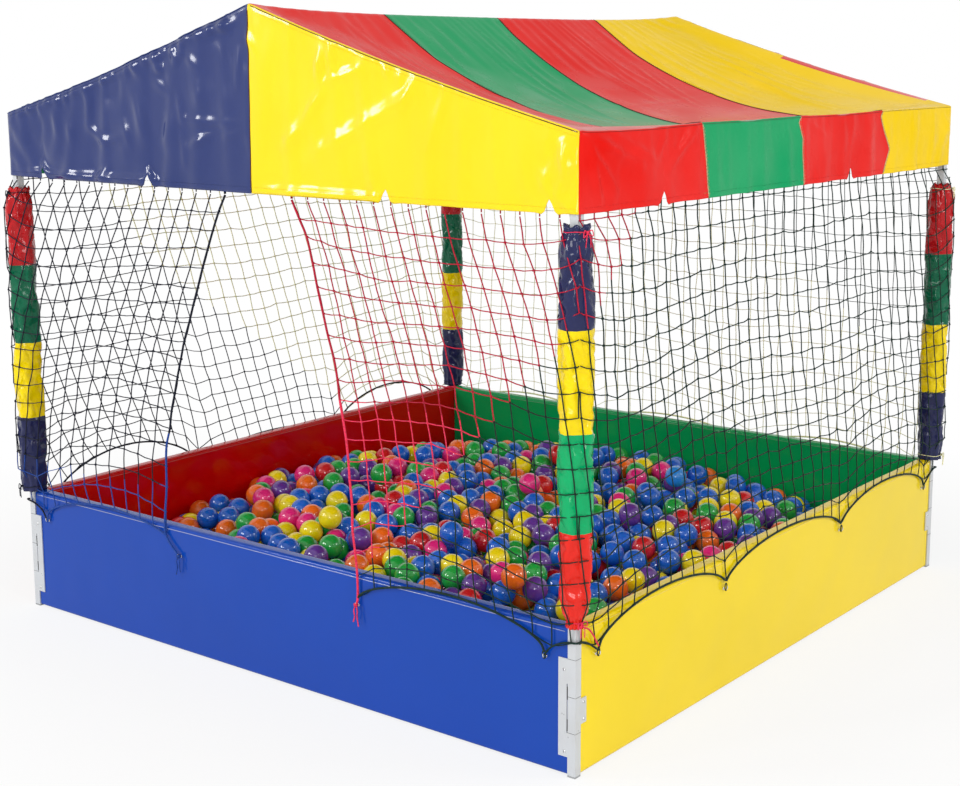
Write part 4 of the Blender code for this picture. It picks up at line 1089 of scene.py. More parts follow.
SLEEVES = {  # lift of the top, radius shares of both ends, turn of the bow, its cord
    "front_right": (0.014, DRAWN_TOP, DRAWN_FOOT, 36, "red"),
    "front_left": (0.003, DRAWN_TOP, STRAIGHT_FOOT, 20, "navy"),
    "back_right": (-0.022, DOMED_TOP, STRAIGHT_FOOT, -30, "yellow"),
    "back_left": (-0.004, DRAWN_TOP, STRAIGHT_FOOT, 0, "navy"),
}


def sleeve_radius(z, corner):
    """Mean radius of a post cover, narrower at both ends."""
    lift, tops, feet = SLEEVES[corner][:3]
    down = np.clip((SLEEVE_TOP + lift - z) / SLEEVE_RADIUS, 0, 30)
    up = np.clip((z - SLEEVE_FOOT) / SLEEVE_RADIUS, 0, 30)
    return SLEEVE_RADIUS * np.minimum(np.interp(down, SLEEVE_DOWN, tops), np.interp(up, SLEEVE_UP, feet))


def sleeve(corner, signs, finishes, seed):
    """A padded vinyl sleeve round the post, gathered at both ends by a drawstring."""
    sleeve_top = SLEEVE_TOP + SLEEVES[corner][0]
    z = np.linspace(sleeve_top, SLEEVE_FOOT, SLEEVE_RINGS)[:, None]
    turn = np.linspace(0, 2 * pi, SLEEVE_SIDES, endpoint=False)[None, :]
    radius = sleeve_radius(z, corner)
    near = np.minimum(sleeve_top - z, z - SLEEVE_FOOT)
    gather = np.exp(-near / GATHER)
    pleats = np.sin(turn * PLEATS + 1.3 * np.sin(turn * 3 + seed)) * gather * PLEAT
    length = sleeve_top - SLEEVE_FOOT
    seams = sum(np.exp(-(((z - SLEEVE_FOOT - length * n / 4) / BAND_SEAM) ** 2)) for n in (1, 2, 3))
    around = turn * AROUND
    crinkle = waves(around * 9, z * 9, seed, count=9, low=1.0, high=2.6)
    crinkle = crinkle + waves(around * 26, z * 26, seed + 50, count=9, low=0.8, high=2.0) * 0.5
    sharp = 1 - 2 * np.abs(crinkle)
    radius = radius + pleats - BAND_SEAM_DEPTH * seams + np.clip(sharp, -1, 1) * CRINKLE - 0.0010
    angle = turn + 0.03 * waves(around * 5, z * 5, seed + 9, low=1, high=2)
    frill = FRILL * np.sin(turn * FRILLS + seed) * np.exp(-(sleeve_top - z) / FRILL_REACH)
    points = np.stack([radius * np.cos(angle), radius * np.sin(angle), z + frill], axis=-1)
    faces = grid_quads(SLEEVE_RINGS, SLEEVE_SIDES, closed=True)
    band = np.clip(((z[:-1, 0] + z[1:, 0]) / 2 - SLEEVE_FOOT) / length * 4, 0, 3.99).astype(int)
    bands = np.repeat(band, SLEEVE_SIDES)
    made = quad_piece(f"post_sleeve_{corner}", points.reshape(-1, 3), faces, finishes, bands)
    rest = places_of(made)
    necks = (SLEEVE_SIDES * HELD_RINGS, len(rest) - SLEEVE_SIDES * HELD_RINGS)
    held = [n for n in range(len(rest)) if n < necks[0] or n >= necks[1]]
    moved = simulate(made, held, 18, 0.03, pressure=1.5, stiffness=12, bending=0.15)
    shift = moved - rest
    size = np.linalg.norm(shift, axis=1)[:, None]
    moved = rest + shift * np.minimum(1, SLACK_MOST / np.maximum(size, 1e-9))
    out = np.linalg.norm(moved[:, :2], axis=1)
    most = np.minimum(out, SLEEVE_RADIUS + 0.001) / np.maximum(out, 1e-9)
    moved[:, :2] *= most[:, None]
    set_places(made, moved)
    shell = made.modifiers.new("thickness", "SOLIDIFY")
    shell.thickness = CLOTH
    shell.offset = -1
    made.location = (signs[0] * POST_AXIS, signs[1] * POST_AXIS, 0)
    bind(made, "canopy", f"post_cover_{corner}", "vinyl_navy")


def drawstrings(corner, signs, finishes, seed):
    """The cord in each neck of a post cover, with a bow, and a loop from the foot to the wall's hook."""
    chance = random.Random(seed)
    cords = Cords()
    bearing = np.arctan2(signs[1], signs[0]) + np.radians(SLEEVES[corner][3])
    outward = np.array([np.cos(bearing), np.sin(bearing), 0])
    aside = np.array([-outward[1], outward[0], 0])
    sleeve_top = SLEEVE_TOP + SLEEVES[corner][0]
    for z in (sleeve_top - NECK, SLEEVE_FOOT + NECK):
        radius = float(sleeve_radius(z, corner)) + DRAWSTRING_PROUD
        turn = np.linspace(0, 2 * pi, 33)
        rise = z + DRAWSTRING_WAVINESS * np.sin(3 * turn + seed)
        cords.tube(np.stack([radius * np.cos(turn), radius * np.sin(turn), rise], axis=-1), DRAWSTRING, 0)
        knot = outward * (radius + 0.002) + (0, 0, z)
        cords.knot(knot, BOW_KNOT, 0)
        for side in (-1, 1):
            wide, drop = chance.uniform(0.010, 0.015), chance.uniform(0.006, 0.014)
            bow = [(0, 0, 0), (wide, 0.004, 0.004), (wide * 1.2, 0.005, -drop), (0.002, 0.003, -0.003)]
            tip = wide * chance.uniform(0.2, 0.8)
            end = [(0, 0.002, 0), (wide * 0.5, 0.005, -0.014), (tip, 0.004, -0.034)]
            for loop in (bow, end):
                path = [knot + side * a * aside + b * outward + (0, 0, c) for a, b, c in loop]
                rope(cords, smooth_path(path, 5), 0, BOW_ROPE, facing=outward)
    if corner == "front_right":
        rope(cords, smooth_path(FOOT_LOOP, 6), 0, FOOT_ROPE, facing=(0, 0, 1))
    made = cords.piece(f"post_sleeve_cords_{corner}", finishes)
    made.location = (signs[0] * POST_AXIS, signs[1] * POST_AXIS, 0)
    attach(made, "canopy")


# Nets


def net_bulge(from_corner, height):
    along = np.clip((BULGE_END - from_corner) / (BULGE_END - BULGE_START), 0, 1)
    rise = np.clip((NET_HINGE - height) / (NET_HINGE - SLEEVE_ROW), 0, 1)
    fall = np.clip((height - WALL_TOP) / (WALL_ROW - WALL_TOP), 0, 1)
    return (NET_EDGE - NET_PLANE) * along * np.minimum(rise, fall)


def net_reach(height):
    return NET_PLANE + net_bulge(0, height) - CORNER_GAP


def hem_height(along, scallops=SCALLOPS):
    """The lower edge dips to its hooks, rises between them and rises a little to the corners."""
    along = np.asarray(along, float)
    last = HOOKS[-1]
    height = HOOK_HEIGHT + CORNER_RISE * np.clip((np.abs(along) - last) / (HALF - last), 0, 1) ** 0.5
    for a, b, scallop in zip(HOOKS, HOOKS[1:], scallops):
        share = np.clip((along - a) / (b - a), 0, 1)
        inside = (share > 0) & (share < 1)
        height = np.where(inside, HOOK_HEIGHT + scallop * np.sin(pi * share) ** 0.5, height)
    return height


def slack(along, z, seed):
    """How far a knot of a net strays: in the net's plane, up, and out of it."""
    free = np.clip((NET_HINGE - z) / FREE_FADE, 0, 1) * np.clip((z - FREE_ABOVE) / FREE_FADE, 0, 1)
    from_corner = NET_EDGE - np.abs(along)
    ends = np.clip(from_corner / FREE_END, 0, 1)
    strays = []
    for n, (wide, fine) in enumerate(STRAYS):
        large = waves(along * 0.9, z * 0.9, seed + n, low=0.5, high=1.9)
        small = waves(along, z, seed + n + 50, low=5, high=11)
        strays.append((wide * large + fine * small) * free * ends)
    high = np.clip((z - LIFTED_ABOVE) / 0.5, 0, 1) * np.clip((NET_HINGE - z) / LIFTED_FADE, 0, 1)
    strays[1] += CORNER_LIFT * high * np.exp(-from_corner / LIFTED_REACH)
    return strays


def wrapped(along, deep, z):
    """Draws the ends of a net round the corner post or its cover."""
    over = np.maximum(np.abs(along) - POST_AXIS, 0)
    beyond = -deep - POST_AXIS
    reach = np.maximum(NET_PLANE + net_bulge(0, z) - POST_AXIS, CORNER_REACH)
    share = np.where(over > 0, np.minimum(1, reach / np.hypot(over, beyond)), 1)
    return np.sign(along) * (np.abs(along) - over * (1 - share)), -POST_AXIS - beyond * share


def net_grid(columns, levels, seed, lean, scallops=SCALLOPS, arch=0.0):
    """Knots of a net as an array of rows, and which of them lie between its corners."""
    z = np.broadcast_to(levels[:, None], (len(levels), len(columns))).copy()
    along = columns + lean(z)
    reach = net_reach(z)
    inside = np.abs(along) < reach
    along = np.clip(along, -reach, reach)
    share = np.clip((NET_HINGE - z) / (NET_HINGE - HOOK_HEIGHT), 0, 1)
    z = z + (hem_height(along, scallops) - HOOK_HEIGHT) * share**3
    z = z + arch * np.clip((HALF - np.abs(along)) / ARCH_REACH, 0, 1) * np.sin(pi * share**1.5)
    side, lift, out = slack(along, z, seed)
    along, z = along + side, z + lift
    deep = -NET_PLANE - net_bulge(NET_EDGE - np.abs(along), z) - out
    along, deep = wrapped(along, deep, z)
    return np.stack([along, deep, z], axis=-1), inside


def runs(inside):
    """Stretches of a strand that lie on this net, each with its neighbour at either end."""
    marks = np.flatnonzero(np.diff(np.concatenate([[0], inside.astype(int), [0]])))
    for start, stop in marks.reshape(-1, 2):
        yield slice(max(start - 1, 0), stop + 1)


def woven(cords, knots, inside, choose, seed, first_row=0, cord=CORD):
    """Adds every strand of a net, each a little slack between its knots, and every knot."""
    chance = random.Random(seed)

    def strand(points, droop):
        if len(points) < 2:
            return
        middles = (points[:-1] + points[1:]) / 2
        middles[:, 2] -= droop * np.array([chance.uniform(0.2, 1) for _ in middles])
        middles[:, 1] += np.array([chance.uniform(-1, 1) for _ in middles]) * cord / 2
        path = np.empty((2 * len(points) - 1, 3))
        path[0::2], path[1::2] = points, middles
        cords.tube(path, cord / 2, choose((path[:-1] + path[1:]) / 2))

    for row, here in list(zip(knots, inside))[first_row:]:
        for run in runs(here):
            strand(row[run], DROOP)
    for column, here in zip(knots.transpose(1, 0, 2), inside.T):
        for run in runs(here):
            strand(column[run], 0.0)
    for place in knots[1:-1][inside[1:-1]]:
        cords.knot(place, KNOT * cord / CORD * chance.uniform(0.85, 1.15), int(choose(place[None])[0]))


def rope(cords, path, index, size=ROPE, facing=(0, -1, 0)):
    cords.tube(path, size / 2, index, sides=8, facing=facing)


def smooth_path(points, steps=6):
    """A Catmull-Rom curve through a few points."""
    p = np.asarray(points, float)
    p = np.concatenate([2 * p[:1] - p[1:2], p, 2 * p[-1:] - p[-2:-1]])
    path = []
    for a, b, c, d in zip(p, p[1:], p[2:], p[3:]):
        for t in np.arange(steps) / steps:
            bend = (2 * a - 5 * b + 4 * c - d) * t**2 + (3 * b - a - 3 * c + d) * t**3
            path.append(0.5 * (2 * b + (c - a) * t + bend))
    path.append(p[-2])
    return np.array(path)


def net_levels(top):
    """Heights of a net's rows, the same on every side below the flaps' hinges."""
    above = np.linspace(top, NET_HINGE, round((top - NET_HINGE) / CELL) + 1)[:-1]
    below = np.linspace(NET_HINGE, HOOK_HEIGHT, round((NET_HINGE - HOOK_HEIGHT) / CELL) + 1)
    return np.concatenate([above, below])


def hem_rope(cords, along, index, scallops=SCALLOPS):
    """The border rope along the lower edge."""
    height = hem_height(along, scallops) - 0.001
    deep = np.full(len(along), -NET_PLANE - ROPE_PROUD)
    rope(cords, np.stack([along, deep, height], axis=-1), index)


def corner_tie(cords, side, index):
    """The border rope goes on round the corner, to the first hook of the next wall."""
    hook, out = HOOKS[-1], HALF + 0.0045
    rise = HOOK_HEIGHT + CORNER_RISE
    bend = [(hook, out, HOOK_HEIGHT - 0.002), (0.960, out + 0.001, rise - 0.010), (0.988, out + 0.001, rise)]
    bend += [(out + 0.0005, out + 0.0005, rise + 0.002), (out + 0.001, 0.970, rise - 0.004)]
    bend += [(out, 0.935, rise - 0.022), (out + 0.002, hook, HOOK_HEIGHT - 0.008)]
    path = smooth_path([(side * x, -y, z) for x, y, z in bend], 5)
    rope(cords, path, index, TIE_ROPE, facing=(0, 0, 1))


def tails(cords, place, index, chance):
    """A knot and two loose ends of cord."""
    x, y, z = place
    for n in (-1, 1):
        fall = [(x, y, z), (x + n * 0.006, y - 0.003, z - 0.014), (x + n * 0.004, y - 0.002, z - 0.030)]
        end = (x + n * chance.uniform(0.002, 0.010), y - 0.002, z - chance.uniform(0.040, 0.055))
        rope(cords, smooth_path([*fall, end], 4), index, TAIL_ROPE)
    for _ in range(4):
        spot = [c + chance.uniform(-0.002, 0.002) for c in place]
        cords.knot(spot, 0.0062, index)


def lacing(cords, height, index):
    """A cord wound round the rail through the top row of the net."""
    along = np.linspace(-LACED, LACED, round(2 * LACED / CELL) * LACING_STEPS + 1)
    turn = 2 * pi * along / CELL
    most = LACING_SQUARE * LACING
    deep, rise = (np.clip(most * wave(turn), -LACING, LACING) for wave in (np.cos, np.sin))
    cords.tube(np.stack([along, -POST_AXIS - deep, height + rise], axis=-1), LACING_CORD, index)


def hook_ties(cords, hooks, index):
    """A short loop of cord from the hem over each hook."""
    for x in hooks:
        turn = np.linspace(0, 2 * pi, 17)
        z = HOOK_HEIGHT - 0.006 + 0.010 * np.cos(turn)
        loop = np.stack([x + 0.005 * np.sin(turn), np.full(17, -NET_PLANE - 0.003), z], axis=-1)
        rope(cords, loop, index, 0.003)


def side_net(side, finishes, choose, seed, scallops=SCALLOPS, cord=CORD):
    top = GABLE_RAIL_AXIS if side == "back" else EAVE_RAIL_AXIS
    slant = LEANS[side]
    before, after = max(slant, 0), max(-slant, 0)  # strands that come in from the next side
    columns = np.arange(-NET_EDGE - before, NET_EDGE + after + CELL, CELL)

    def lean(z):
        return slant * np.clip(NET_HINGE - z, 0, 1)

    cords = Cords()
    knots, inside = net_grid(columns, net_levels(top), seed, lean, scallops)
    woven(cords, knots, inside, choose, seed, cord=cord)
    border = len(finishes) - 1
    hem_rope(cords, np.linspace(HOOKS[0], HOOKS[-1], 160), border, scallops)
    hook_ties(cords, HOOKS, border)
    lacing(cords, top, border)
    if side != "back":
        corner_tie(cords, 1, border)
        corner_tie(cords, -1, border)
    bind(cords.piece(f"net_side_{side}", finishes), "canopy", f"net_{side}", SLOTS[side], side)


def front_header(finishes):
    """The strip of the front net behind the gable's lower edge, in line with the two flaps."""
    cords = Cords()
    levels = np.linspace(GABLE_RAIL_AXIS, HEADER_LOW, 4)
    for index, (side, sign) in enumerate((("left", -1), ("right", 1))):
        columns = np.arange(0, HALF - sign * FLAP_TOPS[side], CELL) * sign + FLAP_TOPS[side]
        for n, x in enumerate(columns):
            size = FLAP_ROPE if n == 0 else CORD
            cords.tube([(x, -NET_PLANE, z) for z in levels], size / 2, index)
        for z in levels[:-1]:
            cords.tube([(x, -NET_PLANE, z) for x in columns], CORD / 2, index)
            for x in columns:
                cords.knot((x, -NET_PLANE, z), KNOT, index)
    lacing(cords, GABLE_RAIL_AXIS, 0)
    bind(cords.piece("net_top_strip", finishes), "canopy", "net_header_front", "cord_navy")


def flap_edge(side, z):
    fallen = np.clip((NET_HINGE - z) / (NET_HINGE - HOOK_HEIGHT), 0, 1)
    top, foot = FLAP_TOPS[side], FLAP_FEET[side]
    return top + (foot - top) * (1 - (1 - fallen) ** FLAP_POWERS[side])


def flap(side, sign, finishes, choose, rim, seed):
    """Half of the front net, drawn aside at its foot."""
    levels = net_levels(NET_HINGE)
    levels[0] += 0.0005
    width = abs(FLAP_TOPS[side] - sign * HALF)
    columns = FLAP_TOPS[side] + sign * CELL * np.arange(round(width / CELL) + 2)

    def lean(z):
        return flap_edge(side, z) - FLAP_TOPS[side]

    cords = Cords()
    knots, inside = net_grid(columns, levels, seed, lean, arch=FLAP_ARCHES[side])
    woven(cords, knots, inside, choose, seed, first_row=1)
    hook = (sign * HOOKS[2], -NET_PLANE - 0.005, HOOK_HEIGHT - 0.010)
    proud = knots[:, 0] + (0, -ROPE_PROUD, 0)
    edge = smooth_path(np.concatenate([knots[:1, 0], proud[1:], [hook]]), 4)
    rope(cords, edge, rim((edge[:-1] + edge[1:]) / 2), FLAP_ROPE)
    border = int(choose(np.array([(sign * 0.9, 0, HOOK_HEIGHT)]))[0])
    hem_rope(cords, np.linspace(sign * HOOKS[-1], FLAP_FEET[side], 80), border)
    hook_ties(cords, [sign * HOOKS[-1]], border)
    tails(cords, hook, int(rim(np.array([hook]))[0]), random.Random(seed))
    slot = "cord_navy" if side == "left" else "cord_red"
    bind(cords.piece(f"net_curtain_{side}", finishes), f"flap_{side}", f"net_flap_{side}", slot)


# Balls


def heap_top(x, y):
    out = np.clip((np.hypot(x, y) - HEAP_START) / HEAP_SPAN, 0, 1)
    return HEAP_PEAK - (HEAP_PEAK - HEAP_EDGE) * out * out * (3 - 2 * out)


def thrown_balls():
    """Places of the balls before they settle, thrown into the top of the heap."""
    chance = np.random.default_rng(HEAP_SEED)
    radius = BALL / 2
    side = WALL_IN - radius - SIDE_GAP
    count = floor(PACKING_SHARE * (2 * side) ** 2 * HEAP_DEPTH / (4 / 3 * pi * radius**3))
    places = []
    while len(places) < count:
        x, y = chance.uniform(-side, side, 2)
        top = heap_top(x, y) - radius
        low = max(top - HEAP_DEPTH + radius, MAT + radius)
        if chance.uniform(0, HEAP_DEPTH - radius) < top - low + 2 * BALL_PROUD:
            places.append((x, y, chance.uniform(low, top)))
    return places


def close_pairs(places, reach):
    """Numbers of the balls that lie nearer to each other than this."""
    pairs = []
    for n, place in enumerate(places):
        apart = np.linalg.norm(places[n + 1 :] - place, axis=1)
        pairs += [(n, n + 1 + m) for m in np.flatnonzero(apart < reach)]
    return np.array(pairs).T


def settled_balls(loose_spots):
    """Places of the balls, pushed apart until they lie in a heap round the loose ones."""
    thrown = thrown_balls()
    radius = BALL / 2
    side = WALL_IN - radius - SIDE_GAP
    loose = [(x, y, heap_top(x, y) + LOOSE_RISE) for x, y in loose_spots]
    places = np.array(thrown + loose)
    free = np.arange(len(places)) < len(thrown)
    for step in range(SETTLE_STEPS):
        if step % PAIR_STEPS == 0:
            first, second = close_pairs(places, BALL * PAIR_REACH_SHARE)
        apart = places[second] - places[first]
        far = np.linalg.norm(apart, axis=1)
        push = (np.maximum(BALL - far, 0) / far)[:, None] * apart * PUSH_SHARES
        shift = np.zeros_like(places)
        np.add.at(shift, first, -push)
        np.add.at(shift, second, push)
        places[free] += shift[free]
        tops = heap_top(places[:, 0], places[:, 1]) - radius + BALL_PROUD
        places[free, 2] = np.minimum(places[free, 2], tops[free])
        places[free, :2] = np.clip(places[free, :2], -side, side)
        places[free, 2] = np.maximum(places[free, 2], MAT + radius)
    return places[free]


def random_turn(chance):
    axis = Vector(chance.normal(size=3)).normalized()
    return np.array(Matrix.Rotation(chance.uniform(0, 2 * pi), 3, axis))


def ball_mesh(name, places, steps, finish, chance):
    """Balls at these places as one mesh, each turned at random, with its seam as an attribute."""
    points, faces = ball_shape(steps)
    all_points = np.concatenate([(points @ random_turn(chance).T) * BALL / 2 + p for p in places])
    all_faces = np.concatenate([faces + n * len(points) for n in range(len(places))])
    made = quad_piece(name, all_points, all_faces, [finish])
    seam = made.data.attributes.new("seam", "FLOAT", "POINT")
    seam.data.foreach_set("value", np.tile(points[:, 2], len(places)).astype(np.float32))
    return made


def balls(finishes):
    chance = np.random.default_rng(COLOUR_SEED)
    spots = []
    for name in LOOSE_ORDER:
        middle = sum(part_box(name), Vector()) / 2
        spots.append((round(middle.x, 3), round(middle.y, 3)))
        finish = finishes[name.removeprefix("ball_")]
        made = ball_mesh(f"loose_{name}", [tuple(middle)], LOOSE_STEPS, finish, chance)
        bind(made, name, name, name)
    places = settled_balls(spots)
    depth = heap_top(places[:, 0], places[:, 1]) - BALL / 2 - places[:, 2]
    colours = chance.choice(list(BALL_SHARES), len(places), p=list(BALL_SHARES.values()))
    layers = (("top", TOP_STEPS, depth < TOP_LAYER), ("low", LOW_STEPS, depth >= TOP_LAYER))
    for colour in BALL_SHARES:
        for layer, steps, chosen in layers:
            own = places[(colours == colour) & chosen]
            made = ball_mesh(f"balls_{layer}_{colour}", own, steps, finishes[colour], chance)
            bind(made, "base", "ball_bed", "ball_mix")


# Small metal parts

LONG_SCREWS = ((0.968, 0.259), (0.969, 0.061))
SHORT_SCREWS = ((0.967, 0.178), (0.967, 0.137))
KNUCKLE_JOINTS = (0.286, 0.195, 0.108)
HOOK_BEND = ((0.004, 0), (-0.004, 0), (-0.009, -0.001), (-0.0125, 0.003), (-0.0125, 0.009))  # outward, up
SCREW_HEAD = (  # radius, height
    (0, 0.0022), (0.0022, 0.0021), (0.0034, 0.0016), (0.0040, 0.0007), (0.0041, 0.0001), (0, 0.0001)
)
SLOT_SIZE, SLOT_HEIGHT = (0.0011, 0.0090, 0.0018), 0.0020
SLITS = ((0.188, 0.219), (0.112, 0.140))
SLIT_PLACE = 0.9775
JOINT_SHADE_LINE, SLIT_SHADE_LINE = 0.0006, 0.0014  # radii of the lines of painted shade
HOOK_DROP, HOOK_WIRE = 0.012, 0.0014
FLANGE, FLANGE_WIRE = 0.0028, 0.0012


def turned(name, profile, finish, sides=20):
    """A turned solid from (radius, height) points, along its own Z."""
    shape = bmesh.new()
    points = [shape.verts.new((r, 0, z)) for r, z in profile]
    edges = [shape.edges.new((a, b)) for a, b in zip(points, points[1:])]
    bmesh.ops.spin(shape, geom=points + edges, axis=(0, 0, 1), angle=2 * pi, steps=sides, use_merge=True)
    bmesh.ops.remove_doubles(shape, verts=shape.verts[:], dist=1e-6)
    bmesh.ops.recalc_face_normals(shape, faces=shape.faces[:])
    mesh = mesh_of(name, shape, finish)
    mesh.shade_smooth()
    mesh.set_sharp_from_angle(angle=radians(40))
    return link(bpy.data.objects.new(name, mesh))


def screw(name, place, outward, finish, painted_shade, turn):
    """A pan head with a slot."""
    made = turned(name, SCREW_HEAD, finish)
    cutter = bmesh.new()
    place_and_size = Matrix.Translation((0, 0, SLOT_HEIGHT)) @ Matrix.Diagonal((*SLOT_SIZE, 1))
    bmesh.ops.create_cube(cutter, size=1, matrix=place_and_size)
    slot = link(bpy.data.objects.new(f"{name}_slot", mesh_of(f"{name}_slot", cutter, painted_shade)))
    cut = made.modifiers.new("slot", "BOOLEAN")
    cut.operation = "DIFFERENCE"
    # The slot's cut faces take the near-black finish: painted shade inside the slot
    cut.material_mode = "TRANSFER"
    cut.object = slot
    graph = bpy.context.evaluated_depsgraph_get()
    cut_mesh = bpy.data.meshes.new_from_object(made.evaluated_get(graph))
    made.modifiers.clear()
    made.data = cut_mesh
    bpy.data.objects.remove(slot)
    facing = Vector(outward).to_track_quat("Z", "Y").to_matrix().to_4x4()
    made.matrix_world = Matrix.Translation(place) @ facing @ Matrix.Rotation(turn, 4, "Z")
    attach(made, "base")


def bracket_screws(finish, painted_shade):
    chance = random.Random(3)
    for corner, (sx, sy) in CORNERS.items():
        for n, (x, z) in enumerate(LONG_SCREWS):
            turn = chance.uniform(-0.15, 0.15)
            screw(f"screw_long_{corner}_{n}", (sx * x, sy * HALF, z), (0, sy, 0), finish, painted_shade, turn)
        for n, (y, z) in enumerate(SHORT_SCREWS):
            turn = chance.uniform(0, pi)
            screw(f"screw_short_{corner}_{n}", (sx * HALF, sy * y, z), (sx, 0, 0), finish, painted_shade, turn)


def knuckle_shade_lines(painted_shade):
    """Lines of painted shade in the gaps between the knuckles of each corner, and in the slits beside the
    middle one.
    """
    for corner, (sx, sy) in CORNERS.items():
        cords = Cords()
        side = TUBE / 2 - 0.0002
        ring = [(side, side), (side, -side), (-side, -side), (-side, side), (side, side)]
        for z in KNUCKLE_JOINTS:
            path = [(sx * POST_AXIS + x, sy * POST_AXIS + y, z) for x, y in ring]
            dense = [np.linspace(a, b, 8)[:-1] for a, b in zip(np.array(path), np.array(path)[1:])]
            cords.tube(np.concatenate([*dense, path[-1:]]), JOINT_SHADE_LINE, 0, facing=(0, 0, 1))
        for low, high in SLITS:
            x, y = sx * SLIT_PLACE, sy * (HALF - 0.0004)
            line = [(x, y, low), (x, y, (low + high) / 2), (x, y, high)]
            cords.tube(line, SLIT_SHADE_LINE, 0, facing=(1, 0, 0))
        bind(cords.piece(f"knuckle_shade_lines_{corner}", [painted_shade]), "base")


def hooks(finish):
    """Small wire hooks screwed into the walls, which hold the hems of the nets."""
    for side in TURNS:
        cords = Cords()
        for x in HOOKS:
            z = HOOK_HEIGHT - HOOK_DROP
            path = smooth_path([(x, -WALL_OUT + dy, z + dz) for dy, dz in HOOK_BEND], 4)
            cords.tube(path, HOOK_WIRE, 0, sides=8, facing=(1, 0, 0))
            turn = np.linspace(0, 2 * pi, 13)
            deep = np.full(13, -WALL_OUT - FLANGE_WIRE)
            flange = [x + FLANGE * np.cos(turn), deep, z + FLANGE * np.sin(turn)]
            cords.tube(np.stack(flange, axis=-1), FLANGE_WIRE, 0, sides=8)
        bind(cords.piece(f"wall_hooks_{side}", [finish]), "base", side=side)


# Carried-over solids

FRAME_FINISHES = {
    "paint": (
        "long_bracket", "short_bracket", "post_", "corner_connector", "apex_connector", "rafter", "eave_rail",
        "gable_rail", "ridge_pole",
    ),
    "wood": ("wall_board",),
    "plastic": ("foot_cap",),
    "foam": ("floor_mat",),
}


def dress_frame(finishes):
    """Better finishes and softened edges on the solids that stay in view."""
    for name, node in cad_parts.items():
        found = [finishes[finish] for finish, starts in FRAME_FINISHES.items() if name.startswith(starts)]
        if not found or node.hide_render:
            continue
        node.data.materials.clear()
        node.data.materials.append(found[0])
        edges = node.modifiers.new("soft_edges", "BEVEL")
        edges.width = 0.0012 if name.startswith(("post", "long", "short")) else 0.0008
        edges.segments = 2
        edges.limit_method = "ANGLE"
        edges.angle_limit = radians(50)


# Studio


def light_path_sum(tree, names):
    """One where a ray is of any of these kinds."""
    path = tree.nodes.new("ShaderNodeLightPath")
    seen = path.outputs[names[0]]
    for name in names[1:]:
        joined = tree.nodes.new("ShaderNodeMath")
        joined.operation = "MAXIMUM"
        tree.links.new(seen, joined.inputs[0])
        tree.links.new(path.outputs[name], joined.inputs[1])
        seen = joined.outputs[0]
    return seen


SEEN_RAYS = ("Is Camera Ray", "Is Glossy Ray", "Is Transmission Ray")
WORLD_LIGHT, WORLD_SEEN = 0.50, 1.0  # strength as light, and where it is seen
LAMPS = {  # place, target, size and power
    "key": ((-3.2, -4.4, 2.9), (0, 0, 0.8), 1.1, 85),
    "front": ((3.4, -5.2, 1.9), (0, 0, 0.5), 1.6, 85),
    "side": ((5.0, 1.6, 2.8), (0.4, 0, 0.7), 1.2, 50),
    "top": ((0.6, 0.4, 4.6), (0, 0, 0), 3.0, 18),
    "spark_left": ((-1.6, -6.0, 3.6), (0, 0, 0.6), 0.55, 42),
    "spark_right": ((5.2, -2.2, 3.8), (0, 0, 0.6), 0.55, 42),
}


def studio():
    """A pale floor, a white surround and soft lamps."""
    scene = bpy.context.scene
    scene.view_settings.view_transform = "Standard"
    world = bpy.data.worlds.new("studio")
    scene.world = world
    world.use_nodes = True
    tree = world.node_tree
    background = tree.nodes["Background"]
    level = tree.nodes.new("ShaderNodeMapRange")
    level.inputs["To Min"].default_value = WORLD_LIGHT
    level.inputs["To Max"].default_value = WORLD_SEEN
    tree.links.new(light_path_sum(tree, SEEN_RAYS), level.inputs["Value"])
    tree.links.new(level.outputs["Result"], background.inputs["Strength"])
    background.inputs["Color"].default_value = (1, 1, 1, 1)

    for name, setting in LAMPS.items():
        lamp(name, *setting)
    studio_floor()


def studio_floor():
    """A pale floor that keeps the shadow and fades to the plain background away from the object."""
    shape = bmesh.new()
    bmesh.ops.create_grid(shape, x_segments=1, y_segments=1, size=60)
    made = Finish("studio_floor", 0.9)
    made.set(Base_Color=made.mixed(made.noise(1.5, 3), (0.93, 0.93, 0.93), (0.95, 0.95, 0.95)))
    made.set(Specular_IOR_Level=0.1)
    far = made.node("ShaderNodeVectorMath", operation="LENGTH")
    made.link(made.place, far.inputs[0])
    fade = made.spread(far.outputs["Value"], FLOOR_LIFT, 1, FLOOR_NEAR, FLOOR_FAR)
    both = made.node("ShaderNodeMath", operation="MULTIPLY")
    made.link(fade, both.inputs[0])
    made.link(light_path_sum(made.tree, SEEN_RAYS), both.inputs[1])
    plain = made.node("ShaderNodeEmission")
    mix = made.node("ShaderNodeMixShader")
    made.link(both.outputs[0], mix.inputs["Fac"])
    made.link(made.shader.outputs["BSDF"], mix.inputs[1])
    made.link(plain.outputs["Emission"], mix.inputs[2])
    made.link(mix.outputs["Shader"], made.tree.nodes["Material Output"].inputs["Surface"])
    ground = link(bpy.data.objects.new("studio_floor", mesh_of("studio_floor", shape, made.material)))
    ground.location.z = -0.0005


def lamp(name, place, target, size, power):
    data = bpy.data.lights.new(name, "AREA")
    data.shape = "RECTANGLE"
    data.size = data.size_y = size
    data.energy = power
    made = link(bpy.data.objects.new(name, data))
    made.location = place
    made.rotation_euler = (Vector(target) - Vector(place)).to_track_quat("-Z", "Y").to_euler()


def below(points, height, slope=0, start=0):
    """Whether places lie below a straight seam of a net."""
    return points[:, 2] < height + (points[:, 0] - start) * slope


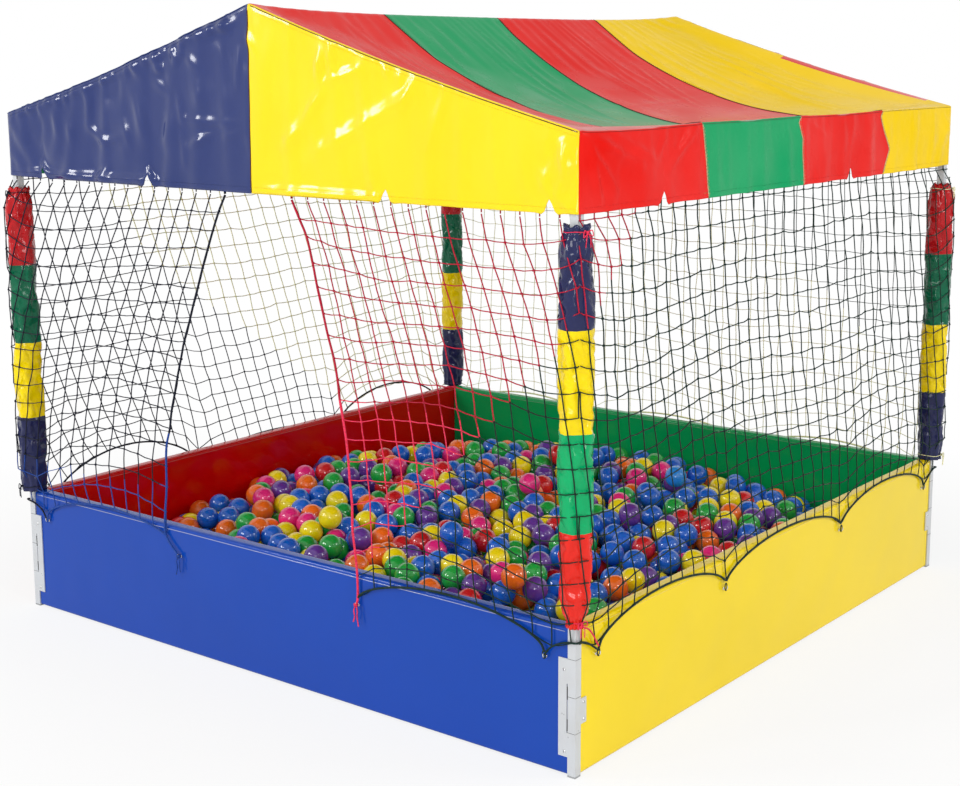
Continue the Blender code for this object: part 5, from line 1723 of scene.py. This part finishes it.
def back_net(points):
    """Green in a corner at the top, pale yellow elsewhere."""
    return below(points, *BACK_SEAM).astype(int)


def left_net(points):
    """Yellow above two diagonal seams, navy below them."""
    return 1 - np.any([below(points, *seam) for seam in LEFT_SEAMS], axis=0)


def right_net(points):
    """Green, with a corner of the front net's red."""
    return below(points, *RIGHT_SEAM).astype(int)


def left_flap(points):
    return below(points, LEFT_FLAP_SEAM).astype(int)


def left_rim(points):
    return below(points, LEFT_RIM_SEAM).astype(int)


def right_rim(points):
    """Maroon, and brighter red lower down."""
    return below(points, RIGHT_RIM_SEAM) * 2


def right_flap(points):
    """Red above a diagonal seam, green below it."""
    return np.where(below(points, *FLAP_SEAM), 1, right_rim(points))


def main():
    make_camera()
    vinyls = {name: vinyl(f"vinyl_{name}", colour) for name, colour in VINYLS.items()}
    cords = {name: cord_finish(f"cord_{name}", colour) for name, colour in CORDS.items()}
    solids = solid_finishes()
    for side, colour in WALL_VINYLS.items():
        # The welt's colour is lightened toward white: a painted highlight on its rounded top
        highlight_share = PIPING_HIGHLIGHT_FRONT if side == "front" else PIPING_HIGHLIGHT_OTHERS
        highlit_piping = vinyl(f"piping_{side}", toward(VINYLS[colour], (1, 1, 1), highlight_share), gloss=0.10, shine=0.5)
        wall(side, vinyls[colour], highlit_piping, f"vinyl_{colour.removeprefix('wall_')}")
    covers = []
    for name, colour in ROOF_VINYLS.items():
        dust_and_sheen = DUST_AND_SHEEN.get(name, 0)
        look = SLOPE_LOOK if dust_and_sheen else HUNG_LOOK
        covers.append(vinyl(f"roof_vinyl_{name}", colour, *look, dust_and_sheen))
    threads = [cord_finish(f"thread_{name}", shade(ROOF_VINYLS[name], 0.85)) for name in THREADS]
    roof(covers, [cords["seam_dark"], cords["seam_pale"], *threads])
    for n, (corner, signs) in enumerate(CORNERS.items()):
        sleeve(corner, signs, [vinyls[band] for band in BANDS[corner]], 20 + n)
        drawstrings(corner, signs, [cords[SLEEVES[corner][4]]], 60 + n)
    side_net("right", [cords["maroon"], cords["green"]], right_net, 101)
    side_net("back", [cords["green"], cords["yellow"]], back_net, 102, cord=BACK_CORD)
    side_net("left", [cords["navy"], cords["yellow"], cords["navy"]], left_net, 103, LEFT_SCALLOPS)
    front_header([cords["navy"], cords["maroon"]])
    flap("left", -1, [cords["navy"], cords["blue"]], left_flap, left_rim, 104)
    flap("right", 1, [cords["maroon"], cords["green"], cords["red"]], right_flap, right_rim, 105)
    balls({name: ball_plastic(f"ball_{name}", colour) for name, colour in BALLS.items()})
    bracket_screws(solids["steel"], solids["painted_shade"])
    knuckle_shade_lines(solids["painted_shade"])
    hooks(solids["steel"])
    dress_frame(solids)
    studio()


main()
